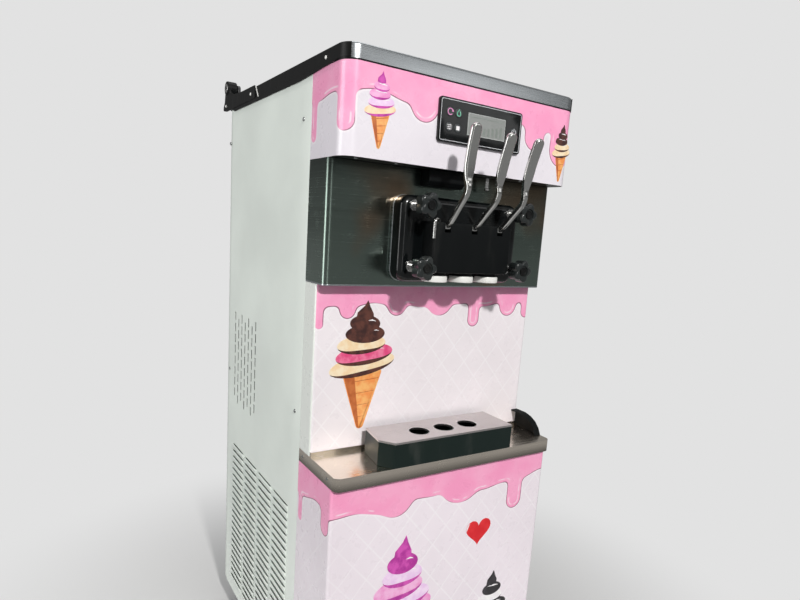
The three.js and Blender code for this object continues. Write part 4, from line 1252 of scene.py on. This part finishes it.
def cover_side(side, trims):
    """Adds one side's arm, skirt, strip and barrel to the trims; returns its joint and hub.
    The dark skirt is a painted shadow, the dark strip a painted reflection and the white joint a
    painted highlight.
    """
    bottom, top = COVER_LOW[2], COVER_TOP
    y, header_rear = HINGE_Y, SIDE_FRONT - 0.3
    arm = [
        (ARM_FRONT, bottom + 1.2),
        (y + 11, bottom + 1.2),
        *arc(y + 26, 1387, 6, -60, 60, 6),
        (y + 21, 1403),
        *arc(y, HINGE_Z, 17, -20, 180, 18),
        (y - 25, 1421),
        (y - 55, 1412),
        (y - 105, top + 2.5),
        (ARM_FRONT, top + 1.5),
    ]
    # The skirt is a painted shadow: a dark band down the side panel under the cover's edge.
    skirt = [
        (COVER_LOW[1] + HEADER_RADIUS, bottom + 2),
        (header_rear, bottom - 4),
        (header_rear + 60, bottom - 7),
        (y - 60, bottom - 7),
        (y - 40, bottom + 2),
    ]
    # The strip is a painted dark reflection along the cover's side and round half of its front corner.
    front = COVER_LOW[1] + HEADER_RADIUS
    run = arc(HALF - HEADER_RADIUS, front, HEADER_RADIUS + 0.6, -52, 0, 12)
    run = [(side * a, b) for a, b in (*run, (HALF + 0.6, ARM_FRONT - 4))]
    near, far = beside(side, -18, 6)
    trims += [
        bevel(prism("skirt", skirt, beside(side, 0.5, 2.4), "x"), 0.5),
        bevel(prism("arm", arm, beside(side, -0.4, 4), "x"), 0.9, 3),
        bevel(prism("strip", stroke(run, 1.6), (bottom + 2.4, top - 1.6)), 0.5),
        rod("barrel", 17, (0, far - near), "x", (near, y, HINGE_Z), 1.5, 48),
    ]
    # The white joint is a painted highlight where the strip meets the arm.
    white = [(-2, top), (-5, top), (-24, bottom + 2), (-20, bottom + 2)]
    white = [(ARM_FRONT + a, b) for a, b in white]
    joint = prism("joint", white, beside(side, 0.6, 2.2), "x")
    return joint, rod("hub", 11, (-1, 0.9), "x", (side * (HALF + 6), y, HINGE_Z), 0.5, 40)


def top_cover():
    bottom = COVER_LOW[2]
    sections = [(SHEET, COVER_TOP - SHEET), (SHEET, bottom + 0.8), (0.8, bottom), (0, bottom + 0.8)]
    sections += [(inset, COVER_TOP - drop) for inset, drop in rounding(5, 6)]
    cap = stacked("top_cover_cap", [(cover_outline(inset), z) for inset, z in sections])
    place(cap, "cover_steel", TRIM_STEEL, "top_cover", body="top_cover")
    trims = []
    joints, hubs = zip(*[cover_side(side, trims) for side in SIDES])
    gasket = line_edges(cover_outline(-0.5), 1.2, True)
    trims.append(ring_prism("gasket", *gasket, (bottom, bottom + 2)))
    # The trim pieces include the painted shadow skirts and painted reflection strips; the joints are
    # painted highlights.
    for name, pieces, slot, material in (
        ("trim", trims, "black_gloss", DARK_TRIM_SHADE_AND_REFLECTION),
        ("joint", joints, "cover_steel", CAP_WHITE),
        ("hubs", hubs, "cover_steel", BRIGHT_STEEL),
    ):
        place(join(f"top_cover_{name}", [*pieces]), slot, material, body="top_cover")
    spots = on_both_sides(1.6, [(SIDE_FRONT - 57, RIVET_Z)])
    spots += on_both_sides(4, [(HINGE_Y + 8, RIVET_Z), (ARM_FRONT + 26, RIVET_Z)])
    rivets("top_cover_rivets", spots, "cover_steel", 3.4, CAP_WHITE, "top_cover")
    spots = [((x, REAR + 4, z), (0, 1, 0)) for x in (-220, 220) for z in (1328, 1360)]
    screws("hinge_screws", spots, "hinge_steel", 4)


# ------------------------------------------------------------------ control panel

def frame_band(name, sides, radius, width, depths):
    """A flat frame just inside a rounded rectangle given as (x0, x1, z0, z1)."""
    x0, x1, z0, z1 = sides
    outer = rounded_box(x0, x1, z0, z1, radius, 6)
    small = max(0.5, radius - width)
    inner = rounded_box(x0 + width, x1 - width, z0 + width, z1 - width, small, 6)
    return ring_prism(name, outer, inner, depths, "y")


def icon(kind):
    """A button's simple symbol, as outlines about its middle."""
    if kind == "auto":
        return [stroke(arc(0, 0, 4.2, 30, 320, 18), 1.1), [(4.4, 3.2), (5.9, 0.2), (2.4, 0.4)]]
    if kind == "wash":
        drop = [*arc(0, -1.2, 3.0, -220, 40, 14), (0, 4.8)]
        return [stroke(drop + drop[:1], 1.1)]
    if kind == "set":
        bars = [stroke([(-3.6, z), (3.6, z)], 0.8) for z in (-2.6, 0, 2.6)]
        knobs = ((1.4, 2.6), (-1.6, 0), (0.6, -2.6))
        return bars + [ellipse(x, z, 1.2, 1.2, steps=14) for x, z in knobs]
    if kind == "stop":
        return [rounded_box(-2.9, 2.9, -2.9, 2.9, 0.8, 3)]
    return [stroke(arc(0, 0, 4.0, 125, 415, 20), 1.1), stroke([(0, 0.6), (0, 5.2)], 1.1)]


BUTTON_INKS = {"auto": "pink", "wash": "green", "set": "white", "stop": "white", "power": "grey"}
SYMBOL_SCALE = 1.3


def control_panel():
    (x0, front, z0), (x1, back, z1) = span("control_bezel")
    rows = [
        (rounded_box(x0 + i, x1 - i, z0 + i, z1 - i, 6), front + d) for i, d in rounding(1.4, 4)[::-1]
    ]
    rows.append((rounded_box(x0, x1, z0, z1, 6), back))
    plate = stacked("bezel_plate", rows, "y")
    low, high = span("display_window")
    across, up = [(low[i] - 0.3, high[i] + 0.3) for i in (0, 2)]
    holes = [
        rod("hole", 8.3, (front - 2, back + 1), "y", (x, 0, z), 0.01)
        for x, _, z in (centre(f"{name}_button") for name in BUTTON_INKS)
    ]
    cut(plate, block("pocket", across, (front - 1, front + 2), up), *holes)
    place(plate, "black_gloss", GLOSS_BLACK, "control_bezel")
    sides = (x0 + 3, x1 - 3, z0 + 3, z1 - 3)
    line = frame_band("bezel_outline", sides, 4, 1.1, (front - 0.08, front + 0.3))
    place(line, "black_gloss", INKS["grey"])
    display(low, high)
    for name, colour in BUTTON_INKS.items():
        button(f"{name}_button", name, INKS[colour])


def button(node, kind, colour):
    """A round key with a raised rim and its symbol."""
    (_, face, _), (right, back, _) = span(node)
    x, _, z = centre(node)
    radius = right - x
    dish = [(0, face + 0.5), (radius * 0.55, face + 0.4), (radius - 1.8, face + 0.05)]
    rim = [(radius - 1.0, face), (radius - 0.3, face + 0.3), (radius, face + 1.0)]
    key = lathe(f"{kind}_key", [*dish, *rim, (radius, back), (0, back)], "y", (x, 0, z), 40)
    place(key, "button", KEY_GREY, node, body=node)
    marks = []
    for outline in icon(kind):
        grown = [(x + SYMBOL_SCALE * a, z + SYMBOL_SCALE * b) for a, b in outline]
        marks.append(prism("mark", grown, (face - 0.12, face + 0.9), "y"))
    place(join(f"{kind}_symbol", marks), "button", colour, body=node)


def display(low, high):
    """Display window: a grey glass in a pale edge, with a plain bar scale."""
    glass = block("glass", *zip(low, high))
    place(bevel(glass, 0.5, 3), "display", LCD, "display_window")
    face = low[1]
    sides = (low[0] + 0.5, high[0] - 0.5, low[2] + 0.5, high[2] - 0.5)
    edge = frame_band("display_edge", sides, 1.6, 1.3, (face - 0.3, face + 0.2))
    place(edge, "display", LCD_EDGE)
    x0, x1, z0, z1 = low[0] + 6, high[0] - 6, low[2] + 5, high[2] - 5
    middles = [x0 + (x1 - x0) * (k + 0.5) / 8 for k in range(8)]
    bars = [rounded_box(x - 2.6, x + 2.6, z0, z0 + 5 + 1.9 * k, 0.6, 2) for k, x in enumerate(middles)]
    bars.append(rounded_box(x0, x1, z1 - 2.4, z1 - 1.2, 0.5, 2))
    marks = [prism("mark", bar, (face - 0.08, face + 0.2), "y") for bar in bars]
    place(join("display_marks", marks), "display", INKS["lcd"])


# ------------------------------------------------------------------ dispensing head

HEAD_FRONT, HEAD_BACK = HEAD_LOW[1], HEAD_HIGH[1]
FLANGE_FRONT = SIDE_FRONT - 120
FLANGE_Z = (1012, 1174)
FLANGE_HALF = 144
BLOCK_HALF = 94
BLOCK_Z = (1033, 1128)
PLUNGER_Y = SIDE_FRONT - 123
PLUNGER_BORE = 9.3
CLAMPS = ("upper_left", "upper_right", "lower_left", "lower_right")


def rounded_slab(name, half, heights, depths, radius, edge):
    """A plate about the head's middle with a rounded outline and rounded front edges."""
    (z0, z1), (front, back) = heights, depths
    rows = []
    for inset, drop in [*rounding(edge, 7)[::-1], (0, back - front)]:
        x0, x1, corner = HEAD_X - half + inset, HEAD_X + half - inset, max(radius - inset, 0.5)
        rows.append((rounded_box(x0, x1, z0 + inset, z1 - inset, corner, 10), front + drop))
    return stacked(name, rows, "y")


def dispensing_head():
    flange = rounded_slab("flange", FLANGE_HALF, FLANGE_Z, (FLANGE_FRONT, HEAD_BACK), 22, 13)
    holes = []
    for name in CLAMPS:
        x, _, z = pivot(f"{name}_clamp_screw_turn")
        holes.append(rod("hole", 5.4, (FLANGE_FRONT - 5, HEAD_BACK + 5), "y", (x, 0, z), 0.01))
    cut(flange, *holes)
    place(flange, "black_gloss", GLOSS_BLACK, "dispensing_head")
    body = rounded_slab("head_block", BLOCK_HALF, BLOCK_Z, (HEAD_FRONT, FLANGE_FRONT + 2), 8, 4)
    slots = []
    for x in LEVER_X:
        across = (x - 7, x + 7)
        slots.append(block("well", across, (PIVOT_Y + 1, FLANGE_FRONT + 0.3), (1098, 1200)))
        slots.append(block("notch", across, (HEAD_FRONT - 5, PIVOT_Y + 2), (1109, 1200)))
    bores = [rod("bore", PLUNGER_BORE, (1000, 1200), "z", (x, PLUNGER_Y, 0), 0.01) for x in LEVER_X]
    bevel(cut(body, *slots, *bores), 0.7, 2, 50)
    collar = [(PLUNGER_BORE, 1014.6), (22, 1014.6), (22, 1036), (PLUNGER_BORE, 1036)]
    collar.append(collar[0])
    collars = [lathe("collar", collar, "z", (x, PLUNGER_Y, 0), 48) for x in LEVER_X]
    place(join("head_block", [body, *collars]), "black_gloss", BLOCK_BLACK)
    heights = (FLANGE_Z[0] - 0.9, FLANGE_Z[1] + 0.9)
    depths = (HEAD_BACK - 5, HEAD_BACK)
    rim = rounded_slab("head_gasket", FLANGE_HALF + 0.9, heights, depths, 23, 0.8)
    place(rim, "polished_steel", TRIM_STEEL)


def lever_pin():
    """The levers' pin and the wire clip that holds it at its left end.

    The clip's bright steel also stands for a painted highlight down the block's rounded upper left
    corner.
    """
    low, high = span("lever_pin")
    pin = rod("pin", high[2] - PIVOT_Z, (low[0], high[0]), "x", (0, PIVOT_Y, PIVOT_Z), 0.6, 24)
    # The clip is partly a real part and partly a painted highlight down the block's rounded upper left
    # corner.
    edge = HEAD_X - BLOCK_HALF
    clip = [
        (edge + 12, PIVOT_Y, 1124),
        (edge + 12, PIVOT_Y - 1, 1131),
        (edge + 6, HEAD_FRONT + 1, 1133),
        (edge - 2, HEAD_FRONT - 3, 1131),
        (edge - 2.6, HEAD_FRONT - 3, 1122),
        (edge - 2.6, HEAD_FRONT - 3, 1097),
    ]
    pin = join("lever_pin_skin", [pin, wire("clip", clip, 3.0)])
    place(pin, "polished_steel", BRIGHT_STEEL, "lever_pin")


def plunger_rings():
    ring = both_ways([(8.8, -1.5), (10, -1.5), (10.4, -1)])
    for lever_name in LEVERS:
        node = f"{lever_name}_plunger"
        x, top = centre(node)[0], span(node)[1][2]
        rings = [lathe("ring", ring, "z", (x, PLUNGER_Y, top - d), 40) for d in (3.4, 12)]
        place(join(f"{node}_rings", rings), "polished_steel", BRIGHT_STEEL, body=node)


def wire(name, corners, radius, segments=14):
    """A bent rod of even thickness through points, its corners cut round."""
    path = [Vector(corner) for corner in corners]
    for _ in range(3):
        eased = [a.lerp(b, share) for a, b in zip(path, path[1:]) for share in (0.25, 0.75)]
        path = [path[0], *eased, path[-1]]
    points = []
    side = Vector((0, 1, 0))
    for i, here in enumerate(path):
        along = (path[min(i + 1, len(path) - 1)] - path[max(i - 1, 0)]).normalized()
        side = (side - along * side.dot(along)).normalized()
        other = along.cross(side)
        points += [here + side * a + other * b for a, b in arc(0, 0, radius, 0, 360, segments)[:-1]]
    return bevel(tube(name, points, segments), 0.4, 2, 60)


def nozzle_caps():
    """White outlet caps below the block, with star-shaped openings."""
    profile = [
        (19, 1014.2), (24.4, 1014.2), (25.4, 1015.2), (25.6, 1018), (25.6, 1025),
        (25.0, 1026.2), (22.1, 1026.6), (22.1, 1016.6), (19, 1016.2), (19, 1014.2),
    ]
    tooth = ((19.6, -0.22), (19.6, 0.22), (12, 0.05), (12, -0.05))
    caps = []
    for x in LEVER_X:
        caps.append(lathe("cap", profile, "z", (x, PLUNGER_Y, 0), 56))
        for k in range(8):
            turns = [(r, 2 * math.pi * k / 8 + a) for r, a in tooth]
            outline = [(x + r * math.cos(t), PLUNGER_Y + r * math.sin(t)) for r, t in turns]
            caps.append(prism("tooth", rounded_polygon(outline, 0.8, 3), (1014.4, 1016.4)))
    place(join("nozzle_caps", caps), "white_plastic", CAP_WHITE)


KNOB_RADIUS = 23.2
KNOB_HOLLOW = 6.2
KNOB_LOBES = 5
KNOB_FRONT, KNOB_BACK = SIDE_FRONT - 178, SIDE_FRONT - 154


def knob_outline(x, z, inset):
    """Outline of a hand knob: round lobes with narrower hollows."""
    points = []
    for a, b in arc(0, 0, 1, 0, 360, 60)[:-1]:
        wave = 0.5 + 0.5 * math.cos(KNOB_LOBES * math.atan2(b, a))
        r = KNOB_RADIUS - inset - KNOB_HOLLOW * (1 - wave**0.7)
        points.append((x + r * a, z + r * b))
    return points


def clamp_screws():
    front, back, face = KNOB_FRONT, KNOB_BACK, FLANGE_FRONT - 0.3
    dish = [(0, front - 2), (12, front - 2), (10.5, front + 2.2), (0, front + 2.2)]
    neck = [(0, back - 1), (9, back - 1), (11.3, back + 1.5), (11.3, back + 9)]
    neck += [(10, back + 10.5), (0, back + 10.5)]
    stud = [
        (0, back + 9), (5.2, back + 9), (5.2, face - 2.6), (10, face - 2.6), (10.5, face - 2.1),
        (10.5, face), (5, face), (5, HEAD_BACK - 1), (0, HEAD_BACK - 1),
    ]
    cap = [
        (0, front + 0.2), (4.6, front + 0.2), (5.6, front - 0.9), (7.4, front - 0.9),
        (8.4, front + 0.4), (8.4, front + 3), (0, front + 3),
    ]
    sections = [(inset, front + drop) for inset, drop in rounding(5, 6)[::-1]]
    sections += [(inset, back - drop) for inset, drop in rounding(2.5, 4)]
    for name in CLAMPS:
        node = f"{name}_clamp_screw"
        x, _, z = pivot(f"{node}_turn")
        knob = stacked("knob", [(knob_outline(x, z, inset), y) for inset, y in sections], "y")
        cut(knob, lathe("dish", dish, "y", (x, 0, z), 40))
        knob = join(f"{name}_knob", [knob, lathe("neck", neck, "y", (x, 0, z), 40)])
        place(knob, "black_plastic", KNOB_BLACK, node, body=node)
        for part, profile, slot, material in (
            ("stud", stud, "polished_steel", BRIGHT_STEEL),
            ("hub", cap, "black_plastic", HUB_BLACK),
        ):
            piece = lathe(f"{name}_knob_{part}", profile, "y", (x, 0, z), 40)
            place(piece, slot, material, body=node)


# ------------------------------------------------------------------ levers

LEAN = {"left": -5, "middle": 2, "right": 3}
REACH = [(-15, 9), (-40, 34), (-56, 50), (-61, 58), (-63, 68), (-62, 84), (-70, 126), (-84, 172)]
ARM_LENGTH = 27
ARM_ANGLE = -22.5
BAR_WIDTH = 10
PADDLE_WIDTH = 22
PADDLE_RISE = (66, 106)
LEVER_THICKNESS = 10.5


def smooth_line(points, per_span=6):
    """A Catmull-Rom curve through points."""
    known = np.array([points[0], *points, points[-1]], float)
    line = []
    for p0, p1, p2, p3 in zip(known, known[1:], known[2:], known[3:]):
        slope, curve = p2 - p0, 2 * p0 - 5 * p1 + 4 * p2 - p3
        for t in np.arange(per_span) / per_span:
            line.append(p1 + (slope * t + curve * t**2 + (3 * p1 - p0 - 3 * p2 + p3) * t**3) / 2)
    return [*line, known[-1]]


def lever(name, x):
    blade = [turned(PIVOT_Y, PIVOT_Z, y, z, LEAN[name]) for y, z in REACH]
    tip = turned(PIVOT_Y, PIVOT_Z, ARM_LENGTH, 0, ARM_ANGLE)
    boss = both_ways([(3.3, -6), (6.4, -6), (7, -5.4)])
    arm = prism("arm", stroke([(PIVOT_Y, PIVOT_Z), tip], 5), (x - 5, x + 5), "x")
    parts = [
        lever_bar(f"{name}_bar", x, smooth_line([(PIVOT_Y, PIVOT_Z), *blade])),
        bevel(arm, 0.8, 3),
        rod("tip", 3, (-5, 5), "x", (x, *tip), 0.5, 24),
        lathe("boss", boss, "x", (x, PIVOT_Y, PIVOT_Z), 40),
    ]
    node = f"{name}_lever"
    place(join(f"{node}_skin", parts), "lever_chrome", LEVER_STEEL, node, body=node)


def lever_bar(name, x, line):
    """A square bar along a (y, z) line that swells into a thick paddle with a rounded end."""
    lengths = [0.0]
    for a, b in zip(line, line[1:]):
        lengths.append(lengths[-1] + math.dist(a, b))
    total = lengths[-1]
    paddle = PADDLE_WIDTH / 2
    tail = [total - paddle * (1 - math.sin(math.pi / 2 * k / 12)) for k in range(12)]
    wanted = sorted({*[d for d in lengths if d < total - paddle], *tail, total - 0.02})
    ys, zs = (np.interp(wanted, lengths, values) for values in zip(*line))
    line = list(zip(ys, zs))
    low, high = PADDLE_RISE
    points = []
    for i, (y, z) in enumerate(line):
        before, after = line[max(i - 1, 0)], line[min(i + 1, len(line) - 1)]
        along = Vector((after[0] - before[0], after[1] - before[1])).normalized()
        swell = min(1, max(0, (z - PIVOT_Z - low) / (high - low)))
        swell = swell * swell * (3 - 2 * swell)
        half = BAR_WIDTH / 2 + (paddle - BAR_WIDTH / 2) * swell
        left = total - wanted[i]
        depth = LEVER_THICKNESS / 2
        if left < paddle:
            half = max(math.sqrt(paddle**2 - (paddle - left) ** 2), 0.5)
            depth *= 0.45 + 0.55 * math.sqrt(1 - (1 - min(1, left / 5)) ** 2)
        eased = min(2.6 + 2.2 * swell, half * 0.85, depth * 0.92)
        outline = rounded_box(-half, half, -depth, depth, eased, 5)
        points += [(x + a, y - along.y * b, z + along.x * b) for a, b in outline]
    return tube(name, points, len(points) // len(line))


def switch_housing():
    """The black box behind the levers and the steel feelers that each lever presses."""
    low, high = span("switch_housing")
    outline = [(high[1], high[2]), (low[1], high[2]), (low[1], low[2] + 9), (low[1] + 8, low[2])]
    outline.append((high[1], low[2]))
    box = bevel(prism("switch_housing_skin", outline, (low[0], high[0]), "x"), 1.5, 4)
    place(box, "black_plastic", BLOCK_BLACK, "switch_housing")
    y, z = SIDE_FRONT - 104, 1200
    feelers = []
    for x in LEVER_X:
        feelers.append(bevel(block("feeler", (x - 4, x + 4), (y, y + 1.2), (z, z + 23)), 0.3))
        feelers.append(rod("roller", 3.2, (-4, 4), "x", (x, y + 1.5, z), 0.4, 20))
    place(join("switch_feelers", feelers), "polished_steel", BRIGHT_STEEL)


# ------------------------------------------------------------------ drip tray and casters

def tray_lid():
    """The tray's cover and the rolled rims of its three holes."""
    lid = copy_node("drip_tray_cover", "drip_tray_lid", 1.1, 3)
    place(lid, "polished_steel", LID_STEEL, "drip_tray_cover", body="drip_tray_cover")
    rim = [(20.6, 713.1), (22.4, 713.1), (22.9, 712.6), (22.9, 711.5), (20.6, 711.5), (20.6, 713.1)]
    rims = [lathe("rim", rim, "z", (x, SIDE_FRONT - 129, 0)) for x in (-68, -7, 54)]
    rims = join("drip_tray_lid_rims", rims)
    place(rims, "polished_steel", BRIGHT_STEEL, body="drip_tray_cover")


def caster(name):
    """A fork with its race and four nuts, and its wheel."""
    node = f"{name}_fork"
    fork = copy_node(node, f"{node}_skin", 0.8, 3)
    x, y, _ = pivot(f"{name}_swivel")
    race = lathe("race", [(0, 66), (17, 66), (20, 68), (20, 72), (0, 72)], "z", (x, y, 0), 40)
    nuts = [
        rod("nut", 4.5, (76, 79.5), "z", (x + a, y + b, 0), 0.5, 6)
        for a, b in ((-18, 0), (18, 0), (0, -18), (0, 18))
    ]
    fork = join(f"{node}_skin", [fork, race, *nuts])
    place(fork, "caster_zinc", FORK_ZINC, node, body=node)
    node = f"{name}_wheel"
    axle = pivot(f"{name}_roll")
    low, high = span(node)
    radius, half = axle[2], (high[0] - low[0]) / 2
    tread = [(21, 2 - half), (22, 0.5 - half), (radius - 4, -half), (radius - 1.2, 1.6 - half)]
    tyre = lathe(f"{name}_tyre", both_ways([*tread, (radius, 4.5 - half)]), "x", axle)
    place(tyre, "caster_tyre", TYRE, node, body=node)
    web = [(4.8, -half), (8, -half), (8.6, 0.6 - half), (9.5, -4), (18, -4), (19.4, 1.8 - half)]
    hub = lathe(f"{name}_hub", both_ways([*web, (21.2, 1.8 - half)]), "x", axle, 48)
    place(hub, "caster_tyre", HUB_GREY, body=node)


# ------------------------------------------------------------------ assembly

def build():
    header()
    middle_panel()
    lower_panel()
    motifs()
    side_panel("left_side_panel", -1)
    side_panel("right_side_panel", 1)
    side_screws()
    back_panel()
    splash_band()
    shelf_trim()
    skins()
    feed_tubes()
    power_inlet()
    top_cover()
    control_panel()
    dispensing_head()
    nozzle_caps()
    lever_pin()
    plunger_rings()
    clamp_screws()
    for name, x in zip(LEVERS, LEVER_X):
        lever(name, x)
    switch_housing()
    tray_lid()
    for end in ("front", "rear"):
        for hand in ("left", "right"):
            caster(f"{end}_{hand}_caster")


# ------------------------------------------------------------------ studio

BACKDROP = srgb(226, 226, 226)
ROOM_DIRECTIONS = (-0.2, 0.6)
ROOM_LEVELS = (0.1, 0.39)
FLOOR_FADE = (0.42, 1.3)
MACHINE_MIDDLE = (0, 0, 0.95)
COVER_MIDDLE = (0, 0, 1.38)
BAND_MIDDLE = (0, 0, 1.3)

# Each light's place, target, width and height in metres, and power.
LIGHTS = {
    "key": ((-0.85, -4.9, 4.0), MACHINE_MIDDLE, 0.3, 0.3, 258),
    "strip": ((-0.75, -2.75, 1.7), BAND_MIDDLE, 0.35, 2.4, 4),
    "card": ((2.3, -3.6, 2.35), COVER_MIDDLE, 1.6, 1.0, 5.5),
    "fill": ((-2.9, 0.4, 1.5), MACHINE_MIDDLE, 1.4, 2.2, 39),
    "top": ((0.2, 0.4, 3.4), MACHINE_MIDDLE, 1.6, 1.6, 12),
}
KEY_COLOUR = (1.0, 0.985, 0.965)


def floor():
    """A plain pale floor that fades into the backdrop's own colour away from the machine."""
    count = 96
    rings = [400, 900, 1500, 2400, 4000, 8000, 20000, 60000]
    points = [(a, b, 0) for radius in rings for a, b in arc(0, 0, radius, 0, 360, count)[:-1]]
    obj = new_mesh("studio_floor", points, [tuple(range(count)), *grid(len(rings), count, True)])
    finish = Finish("studio_floor", srgb(214, 214, 214), 0.6)
    away = finish.node("ShaderNodeVectorMath", {0: finish.position()}, operation="LENGTH")
    strength = finish.remap(finish.camera_ray(), (0, 1), (0.35, 1))
    glow = finish.node("ShaderNodeEmission", {"Color": BACKDROP, "Strength": strength})
    fade = finish.remap(away.outputs["Value"], FLOOR_FADE, (0, 1), True)
    layers = {0: fade, 1: finish.shader.outputs[0], 2: glow.outputs[0]}
    blend = finish.node("ShaderNodeMixShader", layers)
    output = finish.tree.nodes["Material Output"]
    finish.feed(output.inputs["Surface"], blend.outputs[0])
    obj.data.materials.append(finish.material)
    obj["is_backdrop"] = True


def area_light(name, position, target, width, height, power):
    lamp = bpy.data.lights.new(name, "AREA")
    lamp.shape = "RECTANGLE"
    lamp.size, lamp.size_y = width, height
    lamp.energy = power
    obj = new_object(name, lamp)
    obj.location = position
    aim = Vector(target) - Vector(position)
    obj.rotation_euler = aim.to_track_quat("-Z", "Y").to_euler()
    return lamp


def studio():
    """A pale backdrop that lights the machine faintly, brighter from above, and soft lights."""
    scene = bpy.context.scene
    scene.world = bpy.data.worlds.new("studio")
    scene.world.use_nodes = True
    sky = Nodes(scene.world.node_tree)
    background = sky.tree.nodes["Background"].inputs
    direction = sky.node("ShaderNodeTexCoord").outputs["Generated"]
    room = sky.remap(sky.separate(direction)["Z"], ROOM_DIRECTIONS, ROOM_LEVELS)
    sky.feed(background["Color"], BACKDROP)
    sky.feed(background["Strength"], sky.remap(sky.camera_ray(), (0, 1), (room, 1)))
    scene.view_settings.view_transform = "Standard"
    scene.view_settings.look = "None"
    floor()
    lamps = {name: area_light(name, *values) for name, values in LIGHTS.items()}
    lamps["key"].color = KEY_COLOUR


CAMERA_AT = (-0.71047, -1.21246, 1.10603)
CAMERA_AZIMUTH, CAMERA_ELEVATION, CAMERA_ROLL = -33.29, 10.06, 3.98
CAMERA_LENS = {"sensor_width": 36, "lens": 26.186, "shift_x": -0.0118, "shift_y": 0.0438}


def camera():
    data = bpy.data.cameras.new("camera")
    for key, value in {**CAMERA_LENS, "clip_start": 0.05, "clip_end": 100}.items():
        setattr(data, key, value)
    obj = new_object("camera", data)
    a, e, roll = (math.radians(t) for t in (CAMERA_AZIMUTH, CAMERA_ELEVATION, CAMERA_ROLL))
    back = Vector((math.sin(a) * math.cos(e), -math.cos(a) * math.cos(e), math.sin(e)))
    level = Vector((0, 0, 1)).cross(back).normalized()
    upright = back.cross(level)
    right = math.cos(roll) * level + math.sin(roll) * upright
    up = math.cos(roll) * upright - math.sin(roll) * level
    turn = Matrix((right, up, back)).transposed().to_4x4()
    obj.matrix_world = Matrix.Translation(CAMERA_AT) @ turn
    bpy.context.scene.camera = obj


build()
studio()
camera()

boxes = {"cad": CAD_BOX, "visual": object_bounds()}
{name: [list(corner) for corner in box] for name, box in boxes.items()}
